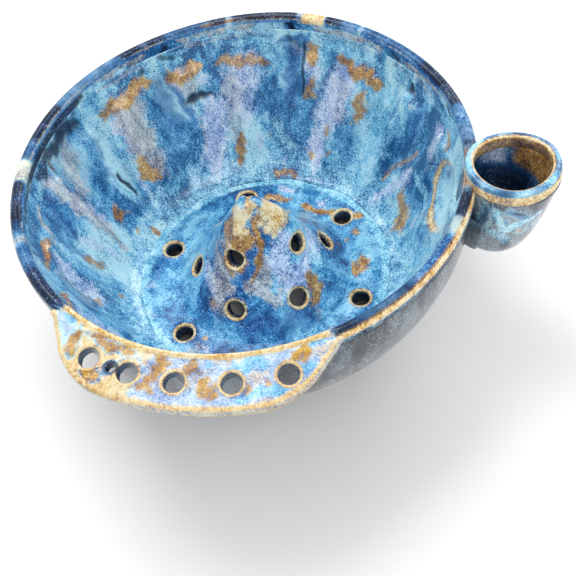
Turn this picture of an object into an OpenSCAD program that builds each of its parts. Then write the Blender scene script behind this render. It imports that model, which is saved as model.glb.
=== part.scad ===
// Berry colander bowl in glazed stoneware: a fluted bowl with a pierced cone in its floor,
// a pierced pouring ledge at the front and a small cup on its side.
// Millimetres. +Z is up, the ledge points to -Y, the cup to +X, and the origin is the centre
// of the ring that the bowl stands on.

/* [Bowl] */
// Outer radius of the rim
rim_radius = 85; // [75:1:100]
// Depth inside, from the rim's top to the floor
bowl_depth = 64; // [50:1:75]
// Radius of the flat floor inside
floor_radius = 50.6; // [46:0.2:56]
// Thickness of the wall where it stands on the floor
wall_thickness = 8.2; // [6:0.2:10]
// Thickness of the floor
floor_thickness = 6.5; // [5:0.1:9]

/* [Rim] */
// Width of the rolled rim
rim_width = 5.2; // [4:0.1:7]
// Height of the rolled rim
rim_height = 6.6; // [6.4:0.1:9]
// How far the rim stands out over the wall below it
rim_overhang = 0.8; // [0.3:0.1:1.5]

/* [Foot] */
// Outer radius of the foot ring
foot_radius = 52.6; // [50:0.2:53]
// Width of the foot ring
foot_width = 5.8; // [4:0.2:6.4]
// Height of the foot ring
foot_height = 7; // [5:0.5:12]

/* [Pressed panels] */
// How many panels are pressed into the wall
panel_count = 18; // [12:1:24]
// How far a panel stands in from the wall
panel_relief = 1.9; // [0.5:0.1:2.6]
// Drop from the rim's top to the top of a panel
panel_drop = 14; // [12:0.5:20]
// Height over which a panel's top edge rounds over
panel_edge = 3.2; // [1.5:0.1:6]
// Height over which a panel fades out above the floor
panel_fade = 14; // [6:0.5:20]

/* [Drain holes] */
// Radius of a drain hole in the floor
floor_hole_radius = 3.8; // [3:0.1:4.5]
// Radius of the circle that the floor's drain holes lie on
floor_hole_circle = 41.4; // [41:0.1:43]
// Radius of a drain hole in the cone
cone_hole_radius = 3.4; // [2.5:0.1:3.8]
// How far each hole's edge is eased back
hole_ease = 0.7; // [0.3:0.1:1]

/* [Strainer cone] */
// Height of the cone above the floor
cone_height = 46; // [36:1:50]
// Radius of the cone's foot, where it is let into the floor
cone_radius = 35.5; // [34:0.1:36]
// Thickness of the cone's wall
cone_wall = 4.4; // [3:0.1:5.5]
// Radius of the cone's rounded tip
tip_radius = 3.8; // [3:0.1:5]

/* [Pouring ledge] */
// How far the ledge reaches out from the rim
ledge_reach = 16.5; // [14:0.5:24]
// Thickness of the ledge
ledge_thickness = 4.8; // [3.5:0.1:5]
// Drop from the rim's top to the ledge's top
ledge_drop = 1.4; // [1:0.1:1.6]
// Slope of the ledge, downwards and away from the rim, in degrees
ledge_slope = 10; // [0:1:15]
// Radius of a pouring hole
ledge_hole_radius = 3.8; // [2.5:0.1:4.2]
// Radius of the small extra hole
small_hole_radius = 1.9; // [1.2:0.1:2]
// Distance of the pouring holes from the rim
ledge_hole_reach = 7; // [6:0.1:8.5]
// How far the ledge laps in over the rim
ledge_lap = 3; // [2:0.1:3.5]
// Thickness of the ledge where it laps over the rim
ledge_lap_thickness = 2.6; // [2:0.1:3]

/* [Side cup] */
// Outer radius of the cup
cup_radius = 16.4; // [14:0.1:19]
// Height of the cup, along its leaning side
cup_height = 41; // [34:0.5:44]
// Radius of the cup's foot, before it rounds over
cup_foot_radius = 9; // [6:0.2:11]
// Thickness of the cup's wall
cup_wall = 2.4; // [2.2:0.1:3.4]
// Height of the rolled lip on the cup
cup_lip_height = 5.6; // [4:0.1:7]
// How far the lip stands out from the cup's wall
cup_lip_overhang = 0.6; // [0.5:0.1:1]
// How deep the cup is let into the rim
cup_bite = 3.8; // [3:0.1:4.2]
// How far the cup's mouth stands above the rim
cup_rise = 2; // [0:0.5:3]
// Lean of the cup along the bowl's slanting side, its top away from the bowl, in degrees
cup_lean = 16; // [10:1:17]
// Lean of the cup's mouth, away from the bowl, in degrees
mouth_lean = 2; // [0:0.5:4]
// Tilt of the cup's mouth, away from the ledge, in degrees
mouth_tilt = 6.5; // [0:0.5:8]
// Thickness of the clay pad round the cup, where it joins the wall
saddle_thickness = 2.2; // [1:0.1:3]
// How far the clay pad stands out from the wall
saddle_reach = 6; // [3:0.5:9]

/* [Thumb hollow] */
// Radius of the ball that the hollow beside the cup was pressed with
hollow_ball_radius = 26; // [18:1:34]
// Drop from the rim's top to the middle of the hollow
hollow_drop = 29; // [26:0.5:33]
// Depth of the hollow below the wall's inner face
hollow_depth = 2.4; // [1:0.1:3]

/* [Hidden] */
$fn = 96;

// Heights, all from the base of the foot ring
floor_top = foot_height + floor_thickness;
rim_top = floor_top + bowl_depth;
rim_seat = rim_top - rim_height;
wall_height = rim_seat - floor_top;

// Radii of the wall at its foot and at the rim
wall_foot_radius = floor_radius + wall_thickness;
wall_top_inner = rim_radius - rim_width;
wall_top_outer = rim_radius - rim_overhang;

// Every cut runs this far past the face that it opens
overrun = 2;

// How far the floor's edge stands out over the foot ring
foot_margin = 0.45;

// Shape of the wall: powers of the height share, for a coved inside and a bellied outside
inner_curve = 0.55;
outer_curve = 2;
inner_row_shares = [0, 0.03, 0.08, 0.16, 0.26, 0.38, 0.5, 0.62, 0.71, 0.76, 0.8, 0.84, 0.88, 0.92, 0.96, 1];
outer_row_shares = [1, 0.88, 0.76, 0.62, 0.48, 0.34, 0.2, 0.08, 0];
wall_steps = 120;

// Panels: the first one's direction, the lean of those near lean_middle, and the hand-set
// unevenness of their width and of how high each one starts
first_panel = 2;
panel_lean = 18;
lean_middle = 20;
panel_fill_shares = [0.50, 0.56, 0.40, 0.60, 0.36, 0.58, 0.54, 0.66, 0.50];
panel_start_shares = [0.10, 0.00, 0.16, -0.05, 0.12, 0.22, 0.02, -0.16, 0.10];
panel_side_softness = 0.32;

// Directions of the holes, in degrees from +X, as they were punched by hand
floor_hole_angles = [51, 112, 169, 232, 291, 349];
cone_low_angles = [26, 84, 141, 196, 259, 318];
cone_high_angles = [6, 126, 246];
cone_low_share = 0.225;
cone_high_share = 0.485;

// Cone outline, as shares of its radius and height, from the foot up to the tip
cone_pull_share = [0.75, 0.14];
cone_neck_share = [0.31, 0.52];
tip_hollow_share = 0.4;
cone_steps = 8;

// Groove left where the wall was joined to the floor
groove_radius = 0.9;

// Ledge: directions from its middle, and where its ends leave the rim
ledge_middle = 270;
ledge_root_angle = 36.5;
ledge_tip_angle = 23.5;
ledge_corner_angle = 6;
ledge_corner_share = 0.4;
ledge_steps = 4;
ledge_hole_angles = [-21, -11.3, -0.9, 11, 22.2];
small_hole_angle = -15.4;

// Cup
cup_angle = 5;
cup_steps = 10;
cup_shoulder_share = 0.12;
cup_turn_share = 0.72;
cup_centre_radius = rim_radius - cup_bite + cup_radius + cup_lip_overhang;
cup_inner_radius = cup_radius - cup_wall;
cup_depth = cup_height - cup_lip_height;

// Thumb hollow, and the height share over which the wall's slant beside it is taken
hollow_angle = 12;
tilt_share = 0.1;

// Height shares at which the saddle follows the wall
saddle_shares = [0.2, 0.34, 0.48, 0.62, 0.76, 0.88];

// Rounding of the foot ring's edges
foot_round = 1.6;

// Point at share t of a cubic curve through four points
function curve_point(p0, p1, p2, p3, t) =
    pow(1 - t, 3) * p0 + 3 * pow(1 - t, 2) * t * p1 + 3 * (1 - t) * t * t * p2 + pow(t, 3) * p3;

// Soft step from 0 to 1
function soft_step(t) = let (c = max(0, min(1, t))) c * c * (3 - 2 * c);

// Difference of two directions, from -180 to 180 degrees
function turn(a) = a - 360 * round(a / 360);

// Wall radii at a share of the wall's height, without the panels
function inner_radius_at(s) = floor_radius + (wall_top_inner - floor_radius) * pow(s, inner_curve);
function outer_radius_at(s) =
    wall_foot_radius + (wall_top_outer - wall_foot_radius) * (1 - pow(1 - s, outer_curve));

// How far the panels drift round the bowl between their tops and the floor
function panel_drift(a, s) = panel_lean * pow(0.5 + 0.5 * cos(a - lean_middle), 2) * (1 - s);

// Share of the relief in direction a, at height share s: 1 on a panel, 0 between panels
function panel_share(a, s) =
    let (
        pitch = 360 / panel_count,
        along = (a - first_panel - panel_drift(a, s)) / pitch,
        index = round(along),
        uneven = (index + panel_count * 2) % len(panel_fill_shares),
        fill = panel_fill_shares[uneven],
        off = abs(along - index) * 2,
        across = soft_step((fill + panel_side_softness - off) / panel_side_softness / 2),
        z = s * wall_height,
        start = wall_height + rim_height - panel_drop - panel_edge * panel_start_shares[uneven],
        top = soft_step((start - z) / panel_edge),
        foot = soft_step(z / panel_fade)
    )
    across * top * foot;

// Closed section of the wall in direction a, as radius and height
function wall_section(a) = concat(
    [for (s = inner_row_shares)
        [inner_radius_at(s) - panel_relief * panel_share(a, s), floor_top + s * wall_height]],
    [for (s = outer_row_shares) [outer_radius_at(s), floor_top + s * wall_height]]);

// A ring of sections joined into one closed skin
module ring_skin(sections) {
    steps = len(sections);
    rows = len(sections[0]);
    polyhedron(
        points = [for (i = [0:steps - 1], p = sections[i])
            [p[0] * cos(360 * i / steps), p[0] * sin(360 * i / steps), p[1]]],
        faces = [for (i = [0:steps - 1], j = [0:rows - 1])
            let (i2 = (i + 1) % steps, j2 = (j + 1) % rows,
                 a = i * rows + j, b = i2 * rows + j, c = i2 * rows + j2, d = i * rows + j2)
            each [[a, b, c], [a, c, d]]]);
}

// A hole through a wall along +Z, with both edges eased back
module eased_hole(radius, thickness) {
    translate([0, 0, -overrun]) cylinder(r = radius, h = thickness + 2 * overrun);
    translate([0, 0, thickness - hole_ease])
        cylinder(r1 = radius, r2 = radius + hole_ease + overrun, h = hole_ease + overrun);
    translate([0, 0, -overrun])
        cylinder(r1 = radius + hole_ease + overrun, r2 = radius, h = hole_ease + overrun);
}

// Turned ring that the bowl stands on
module foot_ring() {
    color("slategray")
    rotate_extrude() {
        translate([foot_radius - foot_width, foot_round]) square([foot_width, foot_height - foot_round]);
        translate([foot_radius - foot_width + foot_round, 0])
            square([foot_width - 2 * foot_round, foot_height]);
        translate([foot_radius - foot_round, foot_round]) circle(r = foot_round);
        translate([foot_radius - foot_width + foot_round, foot_round]) circle(r = foot_round);
    }
}

// Flat floor between the cone and the wall, with its drain holes and the groove at the wall
module bowl_floor() {
    color("deepskyblue")
    difference() {
        rotate_extrude()
            polygon([
                [cone_radius, foot_height],
                [foot_radius + foot_margin, foot_height],
                [wall_foot_radius, floor_top], [cone_radius, floor_top]]);
        rotate_extrude() translate([floor_radius - groove_radius, floor_top + groove_radius / 2])
            circle(r = groove_radius);
        for (a = floor_hole_angles)
            rotate(a) translate([floor_hole_circle, 0, foot_height])
                eased_hole(floor_hole_radius, floor_thickness);
    }
}

// Points of the cone's outline from its foot up to the shoulder of the tip, set in by inset
function cone_side(inset) =
    let (
        r = cone_radius - inset,
        h = cone_height - inset,
        foot = [r, 0],
        shoulder = [tip_radius * (inset > 0 ? tip_hollow_share : 1), h - tip_radius]
    )
    [for (i = [0:cone_steps])
        curve_point(foot, [r * cone_pull_share[0], h * cone_pull_share[1]],
                    [r * cone_neck_share[0], h * cone_neck_share[1]], shoulder, i / cone_steps)];

// Outline point and steepness of the cone's outside at a height share
function cone_spot(share) =
    let (
        side = cone_side(0),
        z = share * cone_height,
        hits = [for (i = [0:cone_steps - 1]) if (side[i][1] <= z && side[i + 1][1] > z) i],
        i = hits[0],
        t = (z - side[i][1]) / (side[i + 1][1] - side[i][1]),
        step = side[i + 1] - side[i]
    )
    [side[i] + t * step, atan2(step[1], -step[0])];

// Hollow pointed cone, pinched from the inside of the floor, with two rows of drain holes
module strainer_cone() {
    side = cone_side(0);
    hollow = cone_side(cone_wall);
    dome = [for (i = [1:cone_steps / 2])
        let (a = 90 * i * 2 / cone_steps)
        [side[cone_steps][0] * cos(a), side[cone_steps][1] + tip_radius * sin(a)]];
    color("lightsteelblue")
    difference() {
        rotate_extrude()
            polygon(concat(
                [[0, foot_height], [cone_radius, foot_height]],
                [for (p = concat(side, dome)) [max(p[0], 0), p[1] + floor_top]]));
        rotate_extrude()
            polygon(concat(
                [[0, foot_height - overrun], [cone_radius - cone_wall, foot_height - overrun]],
                [for (p = hollow) [p[0], p[1] + floor_top]],
                [[0, floor_top + hollow[cone_steps][1]]]));
        cone_holes(cone_low_angles, cone_low_share);
        cone_holes(cone_high_angles, cone_high_share);
    }
}

// One row of holes, each square to the cone's outside
module cone_holes(angles, share) {
    spot = cone_spot(share);
    for (a = angles)
        rotate(a) translate([spot[0][0], 0, floor_top + spot[0][1]])
            rotate([0, spot[1], 0])
                translate([0, 0, -2 * cone_wall])
                    eased_hole(cone_hole_radius, 2 * cone_wall);
}

// Wall with its pressed panels, notched for the cup and dished beside it by a ball
module fluted_wall() {
    share = (wall_height + rim_height - hollow_drop) / wall_height;
    tilt = atan2(inner_radius_at(share + tilt_share) - inner_radius_at(share - tilt_share),
                 2 * tilt_share * wall_height);
    color("cornflowerblue")
    difference() {
        ring_skin([for (i = [0:wall_steps - 1]) wall_section(360 * i / wall_steps)]);
        cup_envelope();
        rotate(hollow_angle) translate([inner_radius_at(share), 0, rim_top - hollow_drop])
            rotate([0, tilt, 0]) translate([hollow_depth - hollow_ball_radius, 0, 0])
                sphere(r = hollow_ball_radius);
    }
}

// Rolled rim on top of the wall, notched for the cup's lip and let down under the ledge
module rolled_rim() {
    color("midnightblue")
    difference() {
        rotate_extrude() {
            translate([rim_radius - rim_width, rim_seat])
                square([rim_width, rim_height - rim_width / 2]);
            translate([rim_radius - rim_width / 2, rim_top - rim_width / 2])
                circle(r = rim_width / 2);
        }
        at_mouth() translate([0, 0, -2 * rim_height])
            cylinder(r = cup_radius + cup_lip_overhang, h = 4 * rim_height);
        ledge_slab();
    }
}

// Half of the ledge's plan outline, as points from its middle to the root of one end. Its outer
// side lies past the slab's own edge, so that only the end is trimmed
function ledge_half_outline() =
    let (
        tip = rim_radius + ledge_reach,
        arc_angle = ledge_tip_angle - ledge_corner_angle,
        root = rim_radius * [cos(ledge_root_angle), sin(ledge_root_angle)],
        corner = tip * [cos(ledge_tip_angle), sin(ledge_tip_angle)],
        before = (tip + overrun) * [cos(arc_angle), sin(arc_angle)],
        after = corner + ledge_corner_share * (root - corner)
    )
    concat(
        [for (i = [0:ledge_steps]) let (a = arc_angle * i / ledge_steps)
            (tip + overrun) * [cos(a), sin(a)]],
        [for (i = [1:ledge_steps])
            curve_point(before, (before + corner) / 2, (corner + after) / 2, after,
                        i / ledge_steps)],
        [root - overrun / 2 * [cos(ledge_root_angle), sin(ledge_root_angle)]]);

// The ledge before it is pierced: a sloping slab with a tongue over the rim, trimmed to its outline
module ledge_slab() {
    half = ledge_half_outline();
    top = rim_top - ledge_drop;
    end = ledge_reach - ledge_thickness / 2;
    fall = end * tan(ledge_slope);
    rotate(ledge_middle)
    intersection() {
        rotate_extrude() translate([rim_radius, top]) {
            polygon([
                [0, -ledge_thickness], [end, -ledge_thickness - fall], [end, -fall],
                [-ledge_lap, ledge_lap * tan(ledge_slope)],
                [-ledge_lap, -ledge_lap_thickness], [0, -ledge_lap_thickness]]);
            translate([end, -ledge_thickness / 2 - fall]) circle(d = ledge_thickness);
        }
        translate([0, 0, top - 2 * ledge_reach]) linear_extrude(3 * ledge_reach)
            polygon(concat(
                half, [for (i = [len(half) - 1:-1:1]) [half[i][0], -half[i][1]]]));
    }
}

// Pierced ledge that water is poured off over
module pouring_ledge() {
    color("wheat")
    difference() {
        ledge_slab();
        for (a = ledge_hole_angles)
            at_ledge_hole(a) translate([0, 0, -ledge_thickness])
                eased_hole(ledge_hole_radius, ledge_thickness);
        at_ledge_hole(small_hole_angle) translate([0, 0, -ledge_thickness - overrun])
            cylinder(r = small_hole_radius, h = ledge_thickness + 2 * overrun);
    }
}

// Puts a hole on the ledge's top, square to its slope
module at_ledge_hole(a) {
    rotate(ledge_middle + a)
        translate([rim_radius + ledge_hole_reach, 0,
                   rim_top - ledge_drop - ledge_hole_reach * tan(ledge_slope)])
        rotate([0, ledge_slope, 0]) children();
}

// Puts what is drawn about the axis of the cup's mouth, the mouth at z = 0, where the cup stands
module at_mouth() {
    rotate(cup_angle) translate([cup_centre_radius, 0, rim_top + cup_rise])
        rotate([-mouth_tilt, mouth_lean, 0]) children();
}

// Puts what is drawn about the axis of the cup's body, the lip's underside at z = 0, in its place
module at_body() {
    at_mouth() translate([0, 0, -cup_lip_height])
        rotate([mouth_tilt, cup_lean - mouth_lean, 0]) children();
}

// Outline of the cup's body, set in by inset, run up past the lip's underside that trims it
function cup_side(inset) =
    let (
        r = cup_radius - inset,
        h = cup_depth - inset,
        foot = cup_foot_radius - inset
    )
    concat(
        [[0, cup_radius], [r, cup_radius]],
        [for (i = [0:cup_steps])
            curve_point([r, 0], [r, -h * cup_shoulder_share], [r * cup_turn_share, -h],
                        [foot, -h], i / cup_steps)],
        [[0, -h]]);

// The cup's body without its hollow, set in by inset and trimmed under the lip
module cup_body(inset) {
    difference() {
        at_body() rotate_extrude() polygon(cup_side(inset));
        at_mouth() translate([0, 0, -cup_lip_height]) cylinder(r = 2 * cup_radius, h = 2 * cup_radius);
    }
}

// Small cup beside the rim, leaning along the bowl's side
module side_cup() {
    color("lightslategray")
    difference() {
        cup_body(0);
        at_body() rotate_extrude() polygon(cup_side(cup_wall));
    }
}

// Rolled lip round the cup's mouth
module cup_lip() {
    width = cup_wall + 2 * cup_lip_overhang;
    inner = cup_inner_radius - cup_lip_overhang;
    color("burlywood")
    at_mouth() rotate_extrude() {
        translate([inner, -cup_lip_height]) square([width, cup_lip_height - width / 2]);
        translate([inner + width / 2, -width / 2]) circle(r = width / 2);
    }
}

// Everything that the cup and its lip take up, for notching what they are let into
module cup_envelope() {
    cup_body(0);
    at_mouth() translate([0, 0, -cup_lip_height])
        cylinder(r = cup_radius + cup_lip_overhang, h = cup_lip_height + rim_height);
}

// Clay pad that joins the cup to the outside of the wall
module cup_saddle() {
    color("steelblue")
    difference() {
        intersection() {
            cup_body(-saddle_thickness);
            rotate_extrude()
                polygon(concat(
                    [for (s = saddle_shares) [outer_radius_at(s), floor_top + s * wall_height]],
                    [for (i = [len(saddle_shares) - 1:-1:0])
                        [outer_radius_at(saddle_shares[i]) + saddle_reach,
                         floor_top + saddle_shares[i] * wall_height]]));
        }
        cup_envelope();
    }
}

foot_ring();
bowl_floor();
strainer_cone();
fluted_wall();
rolled_rim();
pouring_ledge();
side_cup();
cup_lip();
cup_saddle();
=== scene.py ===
"""A berry colander bowl in blue reaction-glazed stoneware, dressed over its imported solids.

Every clay piece of the bowl gets a finely turned skin in the place of its plain solid: the foot, the
floor, the strainer cone, the fluted wall, the rolled rim, the pierced pouring ledge, and the side cup
with its lip and saddle. One family of layered glazes covers them. Sizes are in millimetres and are
turned into metres when a mesh is made; angles are in degrees from +X unless a name says otherwise.
"""

from __future__ import annotations

import logging
import math
from dataclasses import dataclass, field
from enum import Enum

import bpy
import numpy as np
from mathutils import Matrix, Vector


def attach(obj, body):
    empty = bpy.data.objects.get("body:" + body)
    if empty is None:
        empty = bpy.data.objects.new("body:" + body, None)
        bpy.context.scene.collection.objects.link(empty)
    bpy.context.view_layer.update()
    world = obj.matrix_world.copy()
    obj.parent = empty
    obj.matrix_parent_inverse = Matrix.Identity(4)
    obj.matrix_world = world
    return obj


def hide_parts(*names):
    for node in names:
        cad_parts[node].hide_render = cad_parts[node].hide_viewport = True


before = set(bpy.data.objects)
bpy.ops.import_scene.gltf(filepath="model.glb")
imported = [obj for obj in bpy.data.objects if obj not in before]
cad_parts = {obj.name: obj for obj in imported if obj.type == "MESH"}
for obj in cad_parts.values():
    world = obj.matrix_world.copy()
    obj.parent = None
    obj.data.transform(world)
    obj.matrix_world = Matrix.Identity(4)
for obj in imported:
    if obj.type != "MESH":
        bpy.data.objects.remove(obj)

MM = 0.001
LOG = logging.getLogger("berry_bowl")


class Mask(Enum):
    """What the glaze does at a point of the clay, and where shade or a reflection is painted into its colour:
    each is a painted value from 0 to 1.
    """

    DUSK = "dusk"
    SKY = "sky"
    PALE = "pale"
    ROSE = "rose"
    AMBER = "amber"
    NIGHT = "night"
    CREST = "crest"
    BACK = "back"


class Flow(Enum):
    """The way that the glaze ran while it was soft, as the stretch of its pattern."""

    DOWN = (1.0, 1.0, 0.36)
    LEVEL = (1.0, 1.0, 1.0)


def soft_step(t: np.ndarray) -> np.ndarray:
    """Return a smooth rise from 0 to 1 while t goes from 0 to 1."""
    c = np.clip(t, 0.0, 1.0)
    return c * c * (3.0 - 2.0 * c)


def turn(a: np.ndarray) -> np.ndarray:
    """Return angles in degrees brought to the span from -180 to 180."""
    return (np.asarray(a) + 180.0) % 360.0 - 180.0


def hump(x: np.ndarray, width: float) -> np.ndarray:
    """Return a bell of height 1 and half-width width, centred where x is 0."""
    return np.exp(-((x / width) ** 2))


def within(a: np.ndarray, middle: float, half: float, soft: float) -> np.ndarray:
    """Return 1 in directions up to half degrees from middle and 0 beyond, turned soft at the ends."""
    return soft_step((half - np.abs(turn(a - middle))) / soft)


def around(radius: float, angle: float, height: float = 0.0) -> tuple[float, float, float]:
    """Return the point at a radius, a direction in degrees and a height."""
    return (radius * math.cos(math.radians(angle)), radius * math.sin(math.radians(angle)), height)


def polar(points: np.ndarray) -> tuple[np.ndarray, np.ndarray, np.ndarray]:
    """Return the direction in degrees, the radius and the height of points."""
    return (np.degrees(np.arctan2(points[:, 1], points[:, 0])),
            np.hypot(points[:, 0], points[:, 1]), points[:, 2].copy())


def moved_out(points: np.ndarray, push: np.ndarray) -> np.ndarray:
    """Return points moved away from the bowl's axis by push, in millimetres."""
    r = np.hypot(points[:, 0], points[:, 1])
    out = points.copy()
    out[:, :2] *= (1 + push / np.maximum(r, 1e-6))[:, None]
    return out


def bezier(points: tuple, count: int) -> list[tuple[float, float]]:
    """Sample a cubic curve.

    Args:
        points: Its four control points, as radius and height.
        count: How many steps it is cut into.

    Returns:
        The count + 1 points along it.
    """
    p = [np.array(q, float) for q in points]
    out = []
    for i in range(count + 1):
        t = i / count
        q = (1 - t) ** 3 * p[0] + 3 * (1 - t) ** 2 * t * p[1] + 3 * (1 - t) * t * t * p[2] + t**3 * p[3]
        out.append((float(q[0]), float(q[1])))
    return out


@dataclass(frozen=True)
class Stroke:
    """A brush stroke of glaze, laid on a surface.

    Attributes:
        x: First coordinate of its start: degrees round the bowl, or millimetres.
        y: Second coordinate of its start, in millimetres.
        x_end: First coordinate of its end.
        y_end: Second coordinate of its end.
        width: Half of its width, in millimetres.
        strength: Its strongest value, from 0 to 1.
    """

    x: float
    y: float
    x_end: float
    y_end: float
    width: float
    strength: float = 1.0


def dab(x: float, y: float, width: float, strength: float = 1.0) -> Stroke:
    """Return a round dab as a stroke that ends where it starts."""
    return Stroke(x, y, x, y, width, strength)


def cover(strokes: tuple[Stroke, ...], x: np.ndarray, y: np.ndarray, radius: float = 0.0) -> np.ndarray:
    """Lay strokes on a surface.

    Args:
        strokes: The strokes.
        x: First coordinate of each point, in degrees where radius is given, else in millimetres.
        y: Second coordinate of each point, in millimetres.
        radius: Radius at which degrees are turned into millimetres, or 0.

    Returns:
        The strongest cover at each point.
    """
    total = np.zeros_like(x)
    scale = math.pi / 180 * radius if radius else 1.0
    across = x * scale
    wander_x = np.sin(y * 0.55 + across * 0.31) + 0.6 * np.sin(y * 1.4 - across * 0.9 + 1.0)
    wander_y = np.sin(across * 0.50 + 0.7) + 0.6 * np.sin(across * 1.2 + y * 0.8)
    for s in strokes:
        stray = 1.1 * min(1.0, s.width / 3.0)
        dx = (turn(x - s.x) * scale if radius else x - s.x) + stray * wander_x
        dy = y - s.y + stray * wander_y
        ux = float(turn(s.x_end - s.x)) * scale if radius else s.x_end - s.x
        uy = s.y_end - s.y
        length = ux * ux + uy * uy
        t = np.clip((dx * ux + dy * uy) / length, 0.0, 1.0) if length else 0.0
        away = np.hypot(dx - t * ux, dy - t * uy) / s.width
        total = np.maximum(total, s.strength * soft_step((1.7 - away) / 1.4))
    return total


class Masks(dict):
    """The masks of one piece: for each Mask, a value from 0 to 1 at every point."""

    def lay(self, mask: Mask, *values: np.ndarray) -> None:
        """Raise a mask to the strongest of what it is and the given values."""
        self[mask] = np.maximum.reduce([self.get(mask, values[0]), *values])


class Clay:
    """Modelling steps that every clay piece shares."""

    @staticmethod
    def clear_selection() -> None:
        """Leave edit mode and deselect everything."""
        if bpy.context.object is not None and bpy.context.object.mode != "OBJECT":
            bpy.ops.object.mode_set(mode="OBJECT")
        bpy.ops.object.select_all(action="DESELECT")

    @staticmethod
    def pick(obj: bpy.types.Object) -> None:
        """Select one object alone and make it active."""
        Clay.clear_selection()
        obj.select_set(True)
        bpy.context.view_layer.objects.active = obj

    @staticmethod
    def named(name: str) -> bpy.types.Object:
        """Name the object that was just added, and its mesh."""
        obj = bpy.context.object
        obj.name = name
        obj.data.name = name
        return obj

    @staticmethod
    def points(obj: bpy.types.Object) -> np.ndarray:
        """Return a mesh's points in millimetres, one row each."""
        flat = np.empty(len(obj.data.vertices) * 3)
        obj.data.vertices.foreach_get("co", flat)
        return flat.reshape(-1, 3) / MM

    @staticmethod
    def place(obj: bpy.types.Object, points: np.ndarray) -> None:
        """Move a mesh's points to new places, in millimetres."""
        obj.data.vertices.foreach_set("co", (points * MM).ravel())
        obj.data.update()

    @staticmethod
    def turned(name: str, section: list[tuple[float, float]], steps: int) -> bpy.types.Object:
        """Turn a closed section round the bowl's axis.

        Args:
            name: The piece's name.
            section: Radius and height of each point of the section, in order round it.
            steps: How many steps the turn is cut into.

        Returns:
            The turned piece, closed, with its faces outwards.
        """
        Clay.clear_selection()
        bpy.ops.mesh.primitive_circle_add(vertices=len(section), radius=MM)
        obj = Clay.named(name)
        Clay.place(obj, np.array([(r, 0.0, z) for r, z in section]))
        bpy.ops.object.mode_set(mode="EDIT")
        bpy.ops.mesh.select_all(action="SELECT")
        bpy.ops.mesh.spin(steps=steps, angle=2 * math.pi, center=(0, 0, 0), axis=(0, 0, 1))
        bpy.ops.mesh.select_all(action="SELECT")
        bpy.ops.mesh.remove_doubles(threshold=MM * 0.001)
        bpy.ops.mesh.delete_loose(use_verts=True, use_edges=True, use_faces=False)
        bpy.ops.mesh.select_all(action="SELECT")
        bpy.ops.mesh.normals_make_consistent(inside=False)
        bpy.ops.object.mode_set(mode="OBJECT")
        return obj

    @staticmethod
    def finish_modifier(obj: bpy.types.Object, kind: str, **settings: object) -> None:
        """Add a modifier with the given settings and apply it."""
        Clay.pick(obj)
        bpy.ops.object.modifier_add(type=kind)
        modifier = obj.modifiers[-1]
        for key, value in settings.items():
            setattr(modifier, key, value)
        bpy.ops.object.modifier_apply(modifier=modifier.name)

    @staticmethod
    def cut(obj: bpy.types.Object, tool: bpy.types.Object, operation: str = "DIFFERENCE") -> None:
        """Take a tool's form from a piece, or keep what both share, and remove the tool."""
        Clay.finish_modifier(obj, "BOOLEAN", operation=operation, solver="EXACT", object=tool)
        bpy.data.objects.remove(tool, do_unlink=True)

    @staticmethod
    def bore(obj: bpy.types.Object, holes: list["Hole"]) -> None:
        """Cut round holes through a piece."""
        Clay.clear_selection()
        for hole in holes:
            bpy.ops.mesh.primitive_cylinder_add(
                vertices=48, radius=hole.radius * MM, depth=2 * hole.reach * MM,
                location=Vector(hole.centre) * MM,
                rotation=Vector(hole.axis).to_track_quat("Z", "Y").to_euler())
            Clay.cut(obj, bpy.context.object)

    @staticmethod
    def soften(obj: bpy.types.Object, voxel: float, passes: int) -> None:
        """Melt a piece's edges as thick glaze does: remesh it evenly, then relax it."""
        Clay.finish_modifier(obj, "REMESH", mode="VOXEL", voxel_size=voxel * MM)
        Clay.finish_modifier(obj, "SMOOTH", factor=0.5, iterations=passes)

    @staticmethod
    def paint(obj: bpy.types.Object, masks: Masks) -> None:
        """Store glaze masks on a piece's points, 0 where a mask is left out."""
        count = len(obj.data.vertices)
        for mask in Mask:
            values = np.clip(masks.get(mask, np.zeros(count)), 0.0, 1.0).astype(np.float32)
            layer = obj.data.attributes.new(mask.value, "FLOAT", "POINT")
            layer.data.foreach_set("value", values)

    @staticmethod
    def smooth(obj: bpy.types.Object) -> None:
        """Shade a piece smooth."""
        Clay.pick(obj)
        bpy.ops.object.shade_smooth()


@dataclass(frozen=True)
class Hole:
    """A round hole punched through the clay, in millimetres."""

    centre: tuple[float, float, float]
    axis: tuple[float, float, float]
    radius: float
    reach: float

    def split(self, points: np.ndarray) -> tuple[np.ndarray, np.ndarray]:
        """Return how far points lie along the hole's axis from its centre, and how far off the axis."""
        axis = np.array(self.axis) / np.linalg.norm(self.axis)
        away = points - np.array(self.centre)
        along = away @ axis
        return along, np.linalg.norm(away - np.outer(along, axis), axis=1)


def edge_distance(points: np.ndarray, holes: list[Hole]) -> np.ndarray:
    """Return how far points lie outside the edge of the nearest hole."""
    return np.min([hole.split(points)[1] - hole.radius for hole in holes], axis=0)


def hole_breaks(points: np.ndarray, holes: list[Hole], near: float) -> dict[str, np.ndarray]:
    """Find the glaze breaks round a piece's holes, and the painted shade in their bores.

    Args:
        points: The piece's points, in millimetres.
        holes: The holes.
        near: How far along its axis a hole is looked for, in millimetres.

    Returns:
        The cream ring, the amber glow outside it and the bore's painted shade, as masks by those names.
    """
    found = {name: np.zeros(len(points)) for name in ("ring", "glow", "bore")}
    for hole in holes:
        along, off = hole.split(points)
        d = off - hole.radius
        here = np.abs(along) < near
        # bore is painted shade inside the hole, not a glaze colour.
        for name, value in (("ring", hump(d - 0.55, 0.62)), ("glow", soft_step((2.6 - d) / 2.0) * (d > -0.2)),
                            ("bore", soft_step((0.25 - d) / 0.35))):
            found[name] = np.maximum(found[name], here * value)
    return found


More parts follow.
